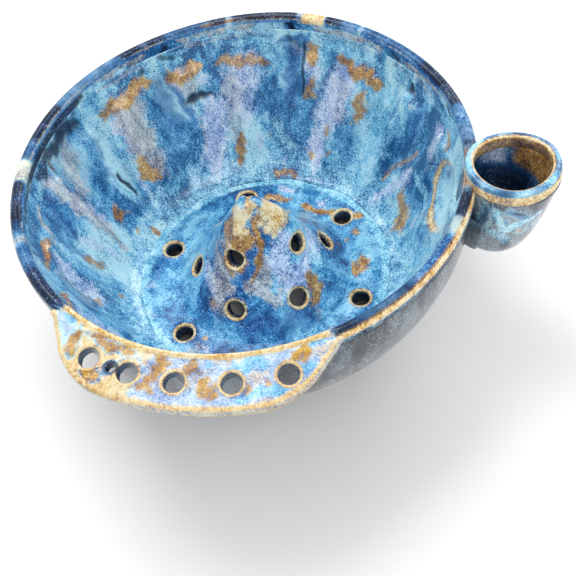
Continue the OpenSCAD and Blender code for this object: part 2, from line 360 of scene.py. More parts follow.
@dataclass
class BowlShape:
    """Sizes that the bowl's pieces share, and its form as functions of direction and height."""

    rim_radius: float = 85.0
    rim_width: float = 5.2
    rim_height: float = 6.6
    rim_overhang: float = 0.8
    rim_top: float = 77.5
    floor_top: float = 13.5
    floor_radius: float = 50.6
    floor_thickness: float = 6.5
    wall_thickness: float = 8.2
    inner_curve: float = 0.55
    outer_curve: float = 2.0
    panel_count: int = 18
    panel_relief: float = 2.1
    panel_drop: float = 14.0
    panel_edge: float = 3.2
    panel_fade: float = 14.0
    panel_lean: float = 18.0
    lean_middle: float = 20.0
    first_panel: float = 2.0
    side_softness: float = 0.30
    fill_shares: tuple[float, ...] = (0.50, 0.56, 0.40, 0.60, 0.36, 0.58, 0.54, 0.66, 0.50)
    start_shares: tuple[float, ...] = (0.10, 0.00, 0.16, -0.05, 0.12, 0.22, 0.02, -0.16, 0.10)
    cup_angle: float = 5.0
    ledge_middle: float = -90.0
    ledge_half_angle: float = 36.5

    @property
    def rim_seat(self) -> float:
        """Height at which the rim sits on the wall."""
        return self.rim_top - self.rim_height

    @property
    def wall_height(self) -> float:
        """Height of the wall between the floor and the rim."""
        return self.rim_seat - self.floor_top

    def inner_radius(self, z: np.ndarray) -> np.ndarray:
        """Return the wall's inner radius at a height, without the panels."""
        s = np.clip((z - self.floor_top) / self.wall_height, 0.0, 1.0)
        top = self.rim_radius - self.rim_width
        return self.floor_radius + (top - self.floor_radius) * s**self.inner_curve

    def outer_radius(self, z: np.ndarray) -> np.ndarray:
        """Return the wall's outer radius at a height."""
        s = np.clip((z - self.floor_top) / self.wall_height, 0.0, 1.0)
        foot = self.floor_radius + self.wall_thickness
        top = self.rim_radius - self.rim_overhang
        return foot + (top - foot) * (1 - (1 - s) ** self.outer_curve)

    def panels(self, a: np.ndarray, z: np.ndarray) -> tuple[np.ndarray, np.ndarray]:
        """Describe the pressed panels at points of the wall.

        Args:
            a: Direction of each point, in degrees.
            z: Height of each point.

        Returns:
            The share of the panels' relief, and the line along their upper edges, both from 0 to 1.
        """
        s = (z - self.floor_top) / self.wall_height
        pitch = 360.0 / self.panel_count
        drift = self.panel_lean * (0.5 + 0.5 * np.cos(np.radians(a - self.lean_middle))) ** 2 * (1 - s)
        along = (a - self.first_panel - drift) / pitch
        index = np.round(along)
        uneven = (index.astype(int) + 2 * self.panel_count) % len(self.fill_shares)
        fill = np.array(self.fill_shares)[uneven]
        start = self.rim_top - self.floor_top - self.panel_drop - self.panel_edge * np.array(
            self.start_shares)[uneven]
        off = np.abs(along - index) * 2
        across = soft_step((fill + self.side_softness - off) / self.side_softness / 2)
        drop = start - (z - self.floor_top) - 3.0 * off**2
        top = soft_step(drop / self.panel_edge)
        foot = soft_step(s * self.wall_height / self.panel_fade)
        edge = across * hump(drop - 0.85 * self.panel_edge, 0.55 * self.panel_edge)
        return across * top * foot, edge

    def in_ledge(self, a: np.ndarray, soft: float = 4.0) -> np.ndarray:
        """Return 1 in the directions that the ledge takes up and 0 elsewhere, softly."""
        return within(a, self.ledge_middle, self.ledge_half_angle, soft)

    def wall_outside(self, z: float) -> float:
        """Return the wall's outer radius at one height."""
        return float(self.outer_radius(np.float64(z)))

    def wall_inside(self, z: float) -> float:
        """Return the wall's inner radius at one height, without the panels."""
        return float(self.inner_radius(np.float64(z)))

    def thrown(self, points: np.ndarray) -> np.ndarray:
        """Give points the slight unevenness of a bowl made by hand.

        Args:
            points: Points in millimetres.

        Returns:
            The moved points.
        """
        a = np.arctan2(points[:, 1], points[:, 0])
        up = np.clip(points[:, 2] / self.rim_top, 0.0, 1.1)
        swell = 1 + up * (0.0045 * np.sin(2 * a + 0.5) + 0.003 * np.sin(3 * a + 2.1))
        lift = up**2 * (0.55 * np.sin(2 * a + 1.0) + 0.35 * np.sin(5 * a + 0.4))
        swell = swell + up * 0.010 * hump(turn(np.degrees(a) - 178), 34)
        out = points.copy()
        out[:, 0] *= swell
        out[:, 1] *= swell
        out[:, 2] += lift
        return out


def srgb(code: str) -> tuple[float, float, float, float]:
    """Return the linear colour of a hex code such as '3a6ea5'."""
    parts = [int(code[i:i + 2], 16) / 255 for i in (0, 2, 4)]
    lin = [c / 12.92 if c <= 0.04045 else ((c + 0.055) / 1.055) ** 2.4 for c in parts]
    return (lin[0], lin[1], lin[2], 1.0)


@dataclass(frozen=True)
class Coat:
    """One colour family of the reaction glaze, and the mask that it follows.

    Attributes:
        mask: The painted mask.
        tones: Its colours, from dark to light, with their places on the ramp.
        share: How much of what lies below it hides at its thickest.
    """

    mask: Mask
    tones: tuple[tuple[float, str], ...]
    share: float = 1.0


# The coats are the glaze's own colours; DUSK and NIGHT also carry painted shade, and SKY and CREST painted
# reflections, where the pieces lay them.
REACTION = (
    Coat(Mask.DUSK, ((0.36, "10335f"), (0.50, "235c9c"), (0.64, "4488c0")), 0.88),
    Coat(Mask.SKY, ((0.36, "5cb2d8"), (0.50, "94d8ee"), (0.64, "d0f2f8")), 0.90),
    Coat(Mask.PALE, ((0.36, "94acdc"), (0.50, "c6d2ec"), (0.64, "f0f4fa")), 0.92),
    Coat(Mask.ROSE, ((0.36, "7c7674"), (0.50, "b4adaa"), (0.64, "e0dad4")), 0.85),
    Coat(Mask.AMBER, ((0.34, "5e401a"), (0.44, "986820"), (0.54, "bc8830"), (0.68, "e0be7c")), 0.95),
    Coat(Mask.NIGHT, ((0.40, "04060c"), (0.54, "0c1630"), (0.68, "26427c")), 0.97),
    Coat(Mask.CREST, ((0.32, "b8802e"), (0.42, "dcb368"), (0.54, "ecd7a8"), (0.68, "f2e8cc")), 1.0),
)


POOL = ((0.34, "154a80"), (0.44, "2f7ab2"), (0.55, "509fcc"), (0.68, "8ccbe6"))

# On the ledge, NIGHT also carries the painted shade in the holes.
LEDGE_COATS = (
    Coat(Mask.DUSK, ((0.36, "10335f"), (0.50, "235c9c"), (0.64, "4488c0")), 0.88),
    Coat(Mask.PALE, ((0.36, "8ea2c6"), (0.50, "a8bada"), (0.64, "c4d2e8")), 0.95),
    Coat(Mask.SKY, ((0.36, "4a98c6"), (0.50, "74b6d8"), (0.64, "9cd0e6")), 0.92),
    Coat(Mask.ROSE, ((0.36, "98846c"), (0.50, "b09c88"), (0.64, "c4b8a8")), 0.85),
    Coat(Mask.AMBER, ((0.34, "664406"), (0.44, "986a08"), (0.54, "b68610"), (0.68, "cca638")), 0.97),
    Coat(Mask.NIGHT, ((0.40, "04060c"), (0.54, "0c1630"), (0.68, "26427c")), 0.98),
    Coat(Mask.CREST, ((0.32, "b08030"), (0.42, "cfa860"), (0.54, "dcc490"), (0.68, "e0d2a8")), 1.0),
)


@dataclass(frozen=True)
class Glaze:
    """The colours and surface of the reaction glaze on one piece.

    Attributes:
        name: The material's name.
        slot: A material slot's name; not used.
        body: Colours of the body of the glaze, from deep to light, with their places on its ramp.
        coats: The coats laid over the body, from the lowest to the highest.
        speck: Colour of the fine dark specks.
        spark: Colour of the fine light specks.
        back: Colours of the plain outside glaze.
        flow: The way that the glaze ran.
        seed: Shift of the pattern, in metres, so that no two pieces share it.
        roughness: Roughness of the glazed face.
        back_roughness: Roughness of the outside glaze.
        gloss: Strength of its mirror-like light, 1 for a full gloss.
    """

    name: str
    slot: str
    body: tuple[tuple[float, str], ...] = (
        (0.34, "205c8e"), (0.44, "4890c0"), (0.55, "78bada"), (0.68, "b8e2ec"))
    coats: tuple[Coat, ...] = REACTION
    speck: str = "0f2a5c"
    spark: str = "cfeefa"
    back: tuple[tuple[float, str], ...] = ((0.34, "14181e"), (0.50, "343d46"), (0.66, "6c7882"))
    flow: Flow = Flow.DOWN
    seed: float = 0.0
    roughness: float = 0.14
    back_roughness: float = 0.28
    gloss: float = 1.0


class GlazeGraph:
    """Builds one glaze's node tree from noises, painted masks and colour ramps."""

    def __init__(self, glaze: Glaze) -> None:
        """Start the glaze's material with the noises that all its colours share."""
        self.glaze = glaze
        self.material = bpy.data.materials.new(glaze.name)
        self.material.use_nodes = True
        self.tree = self.material.node_tree
        self.tree.nodes.clear()
        where = self.node("ShaderNodeTexCoord").outputs["Object"]
        flow = self.node("ShaderNodeMapping", {
            "Location": (glaze.seed, glaze.seed * 0.7, 0.0), "Scale": glaze.flow.value,
            "Vector": where}).outputs["Vector"]
        self.broad = self.noise(45, 3, flow, 0.8)
        self.middle = self.noise(150, 4, flow, 0.5)
        self.small = self.noise(520, 3, flow)
        self.fine = self.noise(1500, 2, where)
        self.back = self.mask(Mask.BACK)

    def node(self, kind: str, inputs: dict | None = None, **settings: object) -> bpy.types.Node:
        """Add a node with some settings, and feed some of its inputs."""
        made = self.tree.nodes.new(kind)
        for key, value in settings.items():
            setattr(made, key, value)
        for key, value in (inputs or {}).items():
            self.feed(made.inputs[key], value)
        return made

    def feed(self, target: bpy.types.NodeSocket, value: object) -> None:
        """Give a socket a link or a plain value."""
        if isinstance(value, bpy.types.NodeSocket):
            self.tree.links.new(value, target)
        else:
            target.default_value = value

    def mask(self, mask: Mask) -> bpy.types.NodeSocket:
        """Read a painted mask."""
        return self.node("ShaderNodeAttribute", attribute_name=mask.value).outputs["Fac"]

    def maths(self, operation: str, *values: object) -> bpy.types.NodeSocket:
        """Add a maths node."""
        return self.node("ShaderNodeMath", dict(enumerate(values)), operation=operation).outputs[0]

    def noise(self, scale: float, detail: float, vector: bpy.types.NodeSocket,
              twist: float = 0.0) -> bpy.types.NodeSocket:
        """Add a noise of the given scale, in cycles to the metre."""
        return self.node("ShaderNodeTexNoise", {
            "Scale": scale, "Detail": detail, "Roughness": 0.6, "Distortion": twist,
            "Vector": vector}).outputs["Fac"]

    def sway(self, base: object, *moves: tuple[bpy.types.NodeSocket, float]) -> bpy.types.NodeSocket:
        """Return base moved by noises, each by its amount for each unit that it is off its middle."""
        for noise, amount in moves:
            base = self.maths("ADD", self.maths("MULTIPLY", self.maths("SUBTRACT", noise, 0.5), amount), base)
        return base

    def span(self, value: bpy.types.NodeSocket, low: float, high: float) -> bpy.types.NodeSocket:
        """Stretch a value from low to high over 0 to 1, softly."""
        return self.node("ShaderNodeMapRange", {"Value": value, "From Min": low, "From Max": high},
                         interpolation_type="SMOOTHSTEP").outputs["Result"]

    def ramp(self, value: bpy.types.NodeSocket, stops: tuple[tuple[float, str], ...]) -> bpy.types.NodeSocket:
        """Colour a value by a ramp."""
        made = self.node("ShaderNodeValToRGB", {"Fac": value})
        elements = made.color_ramp.elements
        while len(elements) < len(stops):
            elements.new(0.5)
        for element, (place, code) in zip(elements, stops):
            element.position = place
            element.color = srgb(code)
        return made.outputs["Color"]

    def blend(self, low: object, high: object, share: object) -> bpy.types.NodeSocket:
        """Mix two colours by a share."""
        return self.node("ShaderNodeMix", {"Factor": share, 6: low, 7: high}, data_type="RGBA",
                         clamp_factor=True).outputs[2]

    def coated(self) -> bpy.types.NodeSocket:
        """Lay the coats over the body of the glaze, each where its mask and the noises let it."""
        g = self.glaze
        tone = self.sway(0.52, (self.broad, 1.2), (self.middle, 0.5), (self.small, 0.35), (self.fine, 0.55))
        colour = self.blend(self.ramp(tone, g.body), self.ramp(tone, g.back), self.back)
        coat_tone = self.sway(0.5, (self.middle, 0.6), (self.small, 0.4), (self.fine, 0.55))
        for coat in g.coats:
            laid = self.sway(self.mask(coat.mask), (self.fine, 0.9), (self.small, 0.4), (self.middle, 0.25))
            share = self.maths("MULTIPLY", self.span(laid, 0.22, 1.02), coat.share)
            colour = self.blend(colour, self.ramp(coat_tone, coat.tones), share)
        return colour

    def specked(self, colour: bpy.types.NodeSocket) -> bpy.types.NodeSocket:
        """Scatter fine dark and light specks over a colour."""
        plain = self.maths("SUBTRACT", 1.0, self.mask(Mask.CREST))
        dark = self.maths("MULTIPLY", self.span(self.fine, 0.50, 0.34), self.span(self.middle, 0.62, 0.38))
        dark = self.maths("MULTIPLY", dark, self.maths("MULTIPLY", plain, 0.65))
        colour = self.blend(colour, srgb(self.glaze.speck), dark)
        light = self.maths("MULTIPLY", self.span(self.fine, 0.55, 0.70), self.span(self.middle, 0.40, 0.60))
        return self.blend(colour, srgb(self.glaze.spark), self.maths("MULTIPLY", light, 0.4))

    def build(self) -> bpy.types.Material:
        """Give the coated and specked glaze its gloss and its slight relief.

        Returns:
            The finished material.
        """
        g = self.glaze
        rough = self.maths("MULTIPLY", self.back, g.back_roughness - g.roughness)
        relief = self.node("ShaderNodeBump", {
            "Strength": 0.4, "Distance": 0.0012,
            "Height": self.sway(self.middle, (self.small, 0.3), (self.fine, 0.06))})
        shader = self.node("ShaderNodeBsdfPrincipled", {
            "Base Color": self.specked(self.coated()),
            "Roughness": self.sway(self.maths("ADD", rough, g.roughness), (self.middle, 0.15)),
            "Normal": relief.outputs["Normal"], "IOR": 1.5, "Specular IOR Level": 0.5 * g.gloss,
            "Coat Weight": 0.5 * g.gloss, "Coat Roughness": 0.05})
        self.node("ShaderNodeOutputMaterial", {"Surface": shader.outputs["BSDF"]})
        return self.material


@dataclass
class CupPlace:
    """Where the side cup stands, and its sizes."""

    radius: float = 16.4
    height: float = 37.0
    foot_radius: float = 9.0
    wall: float = 2.4
    lip_height: float = 5.6
    overhang: float = 0.6
    bite: float = 5.0
    rise: float = 2.4
    lean: float = 16.0
    mouth_lean: float = 2.0
    mouth_tilt: float = 6.5

    def mouth(self, shape: BowlShape) -> Matrix:
        """Return the placing of the mouth's axis, the mouth at height 0, in millimetres."""
        out = shape.rim_radius - self.bite + self.radius + self.overhang
        return (Matrix.Rotation(math.radians(shape.cup_angle), 4, "Z")
                @ Matrix.Translation((out, 0, shape.rim_top + self.rise))
                @ Matrix.Rotation(math.radians(self.mouth_lean), 4, "Y")
                @ Matrix.Rotation(math.radians(-self.mouth_tilt), 4, "X"))

    def body(self, shape: BowlShape) -> Matrix:
        """Return the placing of the body's axis, the lip's underside at height 0, in millimetres."""
        return (self.mouth(shape) @ Matrix.Translation((0, 0, -self.lip_height))
                @ Matrix.Rotation(math.radians(self.lean - self.mouth_lean), 4, "Y")
                @ Matrix.Rotation(math.radians(self.mouth_tilt), 4, "X"))

    def side(self, inset: float, count: int = 26) -> list[tuple[float, float]]:
        """Return the body's side from under its lip down to its foot, set in by inset."""
        r, h = self.radius - inset, self.height - self.lip_height - inset
        return bezier(((r, 0), (r, -h * 0.42), (r * 0.94, -h), (self.foot_radius - inset, -h)), count)

    @property
    def lip_inside(self) -> float:
        """Inner radius of the lip."""
        return self.radius - self.wall - self.overhang

    @staticmethod
    def oval(a: np.ndarray, z: np.ndarray) -> np.ndarray:
        """Return how far from round the cup is at points of it, as one factor for each."""
        return (1 + 0.008 * np.sin(np.radians(a) * 3 + z * 0.1))[:, None]

    @staticmethod
    def put(points: np.ndarray, matrix: Matrix) -> np.ndarray:
        """Return points of an own frame placed on the bowl."""
        m = np.array(matrix)
        return points @ m[:3, :3].T + m[:3, 3]

    @staticmethod
    def own(points: np.ndarray, matrix: Matrix) -> np.ndarray:
        """Return points of the bowl in an own frame."""
        m = np.array(matrix)
        return (points - m[:3, 3]) @ m[:3, :3]

    def pressed(self, points: np.ndarray, shape: BowlShape) -> np.ndarray:
        """Return points with those inside the cup pressed in towards the bowl's axis.

        Args:
            points: Points of what the cup is let into, in millimetres.
            shape: The bowl's shape.

        Returns:
            The points, none of them deeper in the cup than half of its wall.
        """
        out = points.copy()
        half = self.wall / 2
        for matrix, low, high, radii in (
                (self.mouth(shape), -self.lip_height - 0.5, 12.0, None),
                (self.body(shape), -self.height, 3.0, self.side(0.0))):
            own = self.own(out, matrix)
            if radii is None:
                limit = np.full(len(own), self.radius + self.overhang - half)
            else:
                limit = np.interp(-own[:, 2], [-q[1] for q in radii], [q[0] for q in radii]) - half
            inside = (own[:, 2] > low) & (own[:, 2] < high) & (np.hypot(own[:, 0], own[:, 1]) < limit)
            if not inside.any():
                continue
            p = own[inside, :2]
            radial = np.zeros((int(inside.sum()), 3))
            radial[:, :2] = -out[inside, :2] / np.linalg.norm(out[inside, :2], axis=1)[:, None]
            d = (radial @ np.array(matrix)[:3, :3])[:, :2]
            qa, qb = (d * d).sum(1), (p * d).sum(1)
            qc = (p * p).sum(1) - limit[inside] ** 2
            t = (-qb + np.sqrt(np.maximum(qb * qb - qa * qc, 0.0))) / qa
            out[inside] += radial * np.minimum(t, 6.0)[:, None]
        return out


@dataclass
class ClayPiece:
    """A clay piece of the bowl: its skin, its glaze and the solid that it stands for."""

    shape: BowlShape
    node: str
    glaze: Glaze

    @property
    def name(self) -> str:
        """Name of the finished piece."""
        return f"{self.node}_glazed"

    def build(self) -> bpy.types.Object:
        """Model the piece and paint its masks."""
        raise NotImplementedError

    def make(self) -> bpy.types.Object:
        """Model, glaze and seat the piece.

        Returns:
            The finished piece.
        """
        obj = self.build()
        Clay.smooth(obj)
        obj.data.materials.clear()
        obj.data.materials.append(GlazeGraph(self.glaze).build())
        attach(obj, "root")
        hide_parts(self.node)
        LOG.info("%s: %d faces", obj.name, len(obj.data.polygons))
        return obj


@dataclass
class FlutedWall(ClayPiece):
    """The wall with its pressed panels, grooves, pits and thumb hollow."""

    cup: CupPlace = field(default_factory=CupPlace)
    steps: int = 720
    inner_rows: int = 66
    outer_rows: int = 30
    hollow_angle: float = 13.0
    hollow_drop: float = 28.5
    hollow_ball: float = 26.0
    hollow_depth: float = 2.6
    hollow_radius: float = 74.0
    row_crowding: float = 1.15
    rim_overlap: float = 1.2
    floor_overlap: float = 0.4
    pit_depth: float = 1.5
    paint_radius: float = 76.0
    paint: dict[Mask, tuple[Stroke, ...]] = field(default_factory=lambda: {
        Mask.AMBER: (
            Stroke(151.5, -16.6, 143.5, -15.8, 2.7), Stroke(143.5, -15.4, 135.5, -13.6, 2.9),
            Stroke(149, -43.5, 148, -49, 3.6), Stroke(127, -17, 120, -16.6, 2.9),
            Stroke(109, -49.5, 112.5, -59, 2.2), Stroke(122.5, -36, 123.5, -49, 0.9, 0.5),
            dab(168.5, -49.5, 3.3), dab(163, -62.5, 2.0), dab(167.5, -59.5, 1.4, 0.8),
            Stroke(177, -11, 177.6, -14, 0.7), Stroke(111, -17.4, 105, -17, 2.3, 0.85),
            Stroke(105, -17, 97, -19, 2.0, 0.85), dab(112, -47, 1.6, 0.5), dab(99, -51, 1.8, 0.55),
            Stroke(83, -14, 81.6, -18, 2.6), Stroke(82.5, -28, 83, -33, 2.6, 0.85),
            Stroke(73, -16, 68.7, -16.6, 2.2), Stroke(68.7, -16.6, 59.4, -18.4, 3.0),
            Stroke(63.9, -26.5, 64.8, -36.3, 3.0, 0.95), dab(76, -45.6, 2.4, 0.8), dab(82, -58, 1.7, 0.8),
            dab(74.8, -54.5, 1.9, 0.75), dab(45, -14, 1.2, 0.8), Stroke(36.5, -33.3, 47.7, -53, 1.5, 0.7),
            Stroke(25.4, -12.6, 22.7, -15.6, 1.6, 0.8), Stroke(33, -52.5, 27, -59, 3.8, 0.9),
            Stroke(97.5, -63, 87.4, -63.2, 0.9, 0.8), dab(0, -6, 3.0, 0.8), dab(4, -11, 2.0, 0.6),
            Stroke(-166, -44, -168, -50, 2.4, 0.8), dab(-158, -58, 1.8, 0.7)),
        Mask.ROSE: (
            Stroke(144.5, -19, 145.5, -43, 7.6, 0.9), Stroke(126.3, -19, 122, -24, 4.0, 0.8),
            Stroke(109.5, -26, 111.3, -47, 5.6, 0.6), Stroke(169, -13, 174.4, -30, 4.4, 0.75),
            Stroke(-177.5, -14, 177.2, -49.7, 4.4, 0.75), Stroke(177.7, -51, 178.4, -57, 2.6, 0.9),
            Stroke(-167.4, -13, -160, -20, 2.0, 0.85), Stroke(150, -7.6, 134, -7.6, 1.4, 0.6),
            Stroke(120, -7.4, 100, -7.4, 1.1, 0.6), Stroke(78, -7.4, 60.5, -7.2, 1.3, 0.5),
            Stroke(51.8, -7.6, 37.8, -7.2, 1.4, 0.6), Stroke(70.7, -26, 71.5, -38, 3.8, 0.55),
            dab(34.7, -50, 2.2, 0.8), dab(44.7, -18.5, 1.8, 0.6), dab(64.5, -47, 2.8, 0.35),
            dab(86.9, -12.5, 2.8, 0.6), dab(141.5, -51, 2.2, 0.6), Stroke(25, -20, 27, -30, 2.6, 0.4)),
        Mask.PALE: (
            Stroke(149.6, -22, 148.4, -36, 2.8), Stroke(116.5, -36, 122, -55, 6.2), dab(118, -22, 3.4, 0.8),
            Stroke(104.3, -22, 108.5, -36, 8.0, 0.85), dab(103, -52, 2.6, 0.8),
            Stroke(81.9, -19, 82, -25, 3.0, 0.85), Stroke(71.5, -22, 77, -42, 6.6),
            Stroke(80, -50, 80, -58, 4.6), Stroke(-179, -24, 176, -44, 3.6, 0.8),
            Stroke(35, -41.6, 45.3, -60, 3.2, 0.8), Stroke(29.5, -14.6, 28, -24, 3.6, 0.7),
            Stroke(152, -44, 153, -54, 2.0, 0.5), Stroke(-171, -38, -176, -56, 2.2, 0.6),
            dab(20, -52, 3.0, 0.6), dab(93, -60, 2.6, 0.5), dab(9, -21, 2.6, 0.6)),
        Mask.SKY: (
            Stroke(151.3, -8.4, 144.8, -9.8, 1.5, 0.9), dab(124, -9.6, 3.2, 0.85),
            Stroke(106, -10, 95, -10.5, 1.8, 0.6), Stroke(77, -10.5, 60, -12, 2.2, 0.7),
            Stroke(55, -22, 58.5, -58, 6.5, 0.85), Stroke(64.5, -60, 82, -62, 2.6, 0.6),
            Stroke(40, -10, 20, -8.6, 1.8, 0.6), Stroke(30.9, -38, 17.5, -47, 2.2, 0.75),
            Stroke(163.4, -36, 160, -51, 1.6, 0.7), Stroke(-179, -8.5, -172, -13, 1.6, 0.7),
            Stroke(154, -57, 140, -56, 2.8, 0.7), Stroke(99, -44, 91, -55, 3.6, 0.65),
            dab(13, -32, 3.4, 0.7), Stroke(128, -60, 118, -61, 2.4, 0.6),
            Stroke(157, -20, 161, -30, 2.0, 0.5), Stroke(-150, -30, -158, -60, 3.4, 0.5),
            Stroke(49, -30, 50, -44, 2.4, 0.6)),
        Mask.DUSK: (
            Stroke(132.8, -18, 131, -37, 4.2, 0.75), Stroke(131, -37, 133.7, -47, 3.4, 0.4),
            Stroke(128.6, -17, 124.4, -39, 1.8), Stroke(119.8, -29.2, 114.8, -30.1, 1.5, 0.85),
            Stroke(87.9, -15, 90, -36, 4.0, 0.9), Stroke(91, -36, 96, -48, 3.0, 0.4), dab(87, -14, 2.8, 0.8),
            Stroke(92.4, -11.5, 86, -8.6, 1.8, 0.95), dab(112.6, -10.7, 1.2, 0.9),
            Stroke(75.9, -19, 83, -42, 1.4, 0.9), Stroke(39.9, -18, 41.9, -32, 2.2, 0.95),
            Stroke(-172.3, -16, -171.3, -35, 2.4), Stroke(160, -20, 163.5, -40, 2.6, 0.7),
            dab(140, -62, 2.6, 0.75), dab(53.8, -8, 1.6, 0.8), Stroke(102, -38, 98, -44, 3.0, 0.5),
            Stroke(110, -8.4, 95, -8.4, 1.2, 0.7), Stroke(113.6, -20, 112.5, -27, 1.3, 0.7),
            # dab(19, -24) is painted shade under the upper edge of the thumb hollow.
            Stroke(155, -38, 152, -52, 1.8, 0.5), dab(19, -24, 2.6, 0.8), Stroke(64, -40, 68, -52, 2.0, 0.4),
            Stroke(137, -54, 134, -50, 2.2, 0.5), Stroke(-163, -26, -166, -44, 2.6, 0.8)),
        Mask.NIGHT: (
            dab(135.3, -9.4, 1.9, 0.9), Stroke(162, -8.5, 182, -9, 3.4, 0.95),
            Stroke(177, -9, 178.4, -22, 0.9, 0.6), Stroke(84.9, -11, 85.1, -31, 0.75, 0.9),
            Stroke(152.6, -17.6, 143.8, -12.6, 0.5, 0.65),
            Stroke(143.8, -12.6, 135.2, -9.8, 0.5, 0.65), Stroke(90, -9.5, 86, -12, 1.3, 0.65),
            Stroke(128.5, -8, 126, -9, 1.4, 0.75), Stroke(-168, -20, -169, -34, 0.8, 0.5)),
    })
    pits: tuple[Stroke, ...] = (
        Stroke(123.6, -28.0, 120.6, -28.8, 2.2), Stroke(120.6, -28.8, 116.6, -29.8, 0.9, 0.85),
        Stroke(159.7, -38.6, 156.9, -50.5, 1.05), Stroke(47.2, -12, 46.4, -14, 1.5))
    hidden_panels: tuple[int, ...] = tuple(range(-152, -4, 20))
    outside_paint: dict[Mask, tuple[Stroke, ...]] = field(default_factory=lambda: {
        Mask.ROSE: tuple(Stroke(a - 8, -38, a + 4, -26, 5.0, 0.4) for a in (-50, 40, 120, -140)),
        Mask.PALE: tuple(Stroke(a - 12, -16, a + 6, -24, 5.0, 0.22) for a in (-28, 62, 160, -110)),
        Mask.AMBER: tuple(Stroke(a - 12, -61, a + 14, -60, 1.2, 0.55) for a in (-56, 30, 110, -150)),
    })

    def unseen_paint(self) -> dict[Mask, tuple[Stroke, ...]]:
        """Return the strokes of the panels on the near side, which face away from the camera."""
        at = self.hidden_panels
        return {
            Mask.AMBER: tuple(s for k, a in enumerate(at) for s in (
                Stroke(a - 5, -16, a + 5, -15.4, 1.8, 0.9), dab(a + 3, -46 + 6 * (k % 3), 2.6, 0.75))),
            Mask.PALE: tuple(Stroke(a - 1, -23, a + 1, -46, 4.2, 0.8) for a in at),
            Mask.ROSE: tuple(Stroke(a + 3, -22, a + 4, -40, 2.2, 0.6) for a in at),
            Mask.DUSK: tuple(Stroke(a + 10, -19, a + 10.5, -40, 3.0, 0.85) for a in at),
            Mask.SKY: tuple(Stroke(a + 9, -50, a - 4, -59, 3.0, 0.6) for a in at),
        }

    def section(self) -> list[tuple[float, float]]:
        """Return the wall's section: up its inside and down its outside."""
        sh = self.shape
        rows = np.linspace(0, 1, self.inner_rows) ** self.row_crowding
        rows = rows * (sh.wall_height + self.rim_overlap) - self.floor_overlap
        inner = [(sh.wall_inside(sh.floor_top + h), sh.floor_top + h) for h in rows]
        inner[0] = (sh.floor_radius - 1.2, sh.floor_top - 0.9)
        heights = np.linspace(1, 0, self.outer_rows) * sh.wall_height
        outer = [(sh.wall_outside(sh.floor_top + h), sh.floor_top + h) for h in heights]
        outer[0] = (outer[0][0], sh.rim_seat + 0.6)
        return inner + outer

    def build(self) -> bpy.types.Object:
        """Turn the wall, press its panels, its hollow and the cup's bed into it, and paint it."""
        sh = self.shape
        obj = Clay.turned(self.name, self.section(), self.steps)
        points = Clay.points(obj)
        a, r, z = polar(points)
        inside = r < (sh.inner_radius(z) + sh.outer_radius(z)) / 2
        relief, _ = sh.panels(a, z)
        ripple = 0.16 * np.sin(np.radians(a) * 61 + z * 0.05) + 0.25 * np.sin(np.radians(a) * 17 + z * 0.21)
        ripple = ripple * soft_step((z - 20) / 16) * soft_step((sh.rim_top - 10 - z) / 6)
        push = np.where(inside, ripple - sh.panel_relief * relief, 0.0)
        points = self.dished(moved_out(points, push), inside)
        pits = cover(self.pits, a, z - sh.rim_top, self.paint_radius)
        points = moved_out(points, np.where(inside, self.pit_depth * pits, 0.0))
        points[~inside] = self.cup.pressed(points[~inside], sh)
        Clay.place(obj, sh.thrown(points))
        Clay.paint(obj, self.dress(a, z, inside, *self.hollow_edge(points)))
        return obj

    def dress(self, a: np.ndarray, z: np.ndarray, inside: np.ndarray, rim: np.ndarray,
              glow: np.ndarray) -> Masks:
        """Paint the wall.

        Args:
            a: Direction of each point as turned, in degrees.
            z: Height of each point as turned.
            inside: Which points lie on the wall's inside.
            rim: The sharp edge of the thumb hollow.
            glow: A wider band about that edge.

        Returns:
            The wall's masks.
        """
        sh = self.shape
        outside = ~inside
        drop = z - sh.rim_top
        relief, edge = sh.panels(a, z)
        unseen = {**self.unseen_paint(), Mask.NIGHT: self.pits}
        masks = Masks()
        for mask, strokes in self.paint.items():
            masks[mask] = (inside * cover(strokes + unseen[mask], a, drop, self.paint_radius)
                           + outside * cover(self.outside_paint.get(mask, ()), a, drop, self.paint_radius))
        bare = 1 - np.maximum.reduce([masks[Mask.PALE], masks[Mask.AMBER], masks[Mask.ROSE]])
        # Painted shade: DUSK laid darker between the panels and about direction 176.
        shade = 0.15 * (1 - relief) + 0.4 * hump(turn(a - 176), 20)
        far_side = 0.3 + 0.7 * within(a, 40, 150, 60)
        masks.lay(Mask.DUSK, inside * shade * soft_step((z - 34) / 12) * (drop < -11))
        # The second SKY term carries the groove's bright band onto the wall's foot: pooled glaze with a
        # painted reflection.
        masks.lay(Mask.SKY, inside * bare * 0.5 * far_side * soft_step((-drop - 46) / 10),
                  inside * 0.3 * soft_step((sh.floor_top + 1.6 - z) / 1.2))
        masks.lay(Mask.AMBER, inside * edge * 0.30, glow * inside)
        masks[Mask.CREST] = inside * rim
        masks[Mask.BACK] = outside * 1.0
        return masks

    def ball_centre(self) -> np.ndarray:
        """Return the centre of the ball that pressed the thumb hollow."""
        sh = self.shape
        z = sh.rim_top - self.hollow_drop
        lean = math.atan2(sh.wall_inside(z + 5) - sh.wall_inside(z - 5), 10)
        back = self.hollow_ball - self.hollow_depth
        return np.array(around(sh.wall_inside(z) - back * math.cos(lean), self.hollow_angle,
                               z + back * math.sin(lean)))

    def dished(self, points: np.ndarray, inside: np.ndarray) -> np.ndarray:
        """Return points with those inside the thumb ball moved out onto it."""
        away = points - self.ball_centre()
        reach = np.linalg.norm(away, axis=1)
        a, _, z = polar(points)
        near = inside & (reach < self.hollow_ball) & (reach > self.hollow_ball - 7)
        near &= (np.abs(turn(a - self.hollow_angle)) < 20) & (z > self.shape.floor_top + 12)
        out = points.copy()
        out[near] = self.ball_centre() + away[near] * (self.hollow_ball / reach[near])[:, None]
        return out

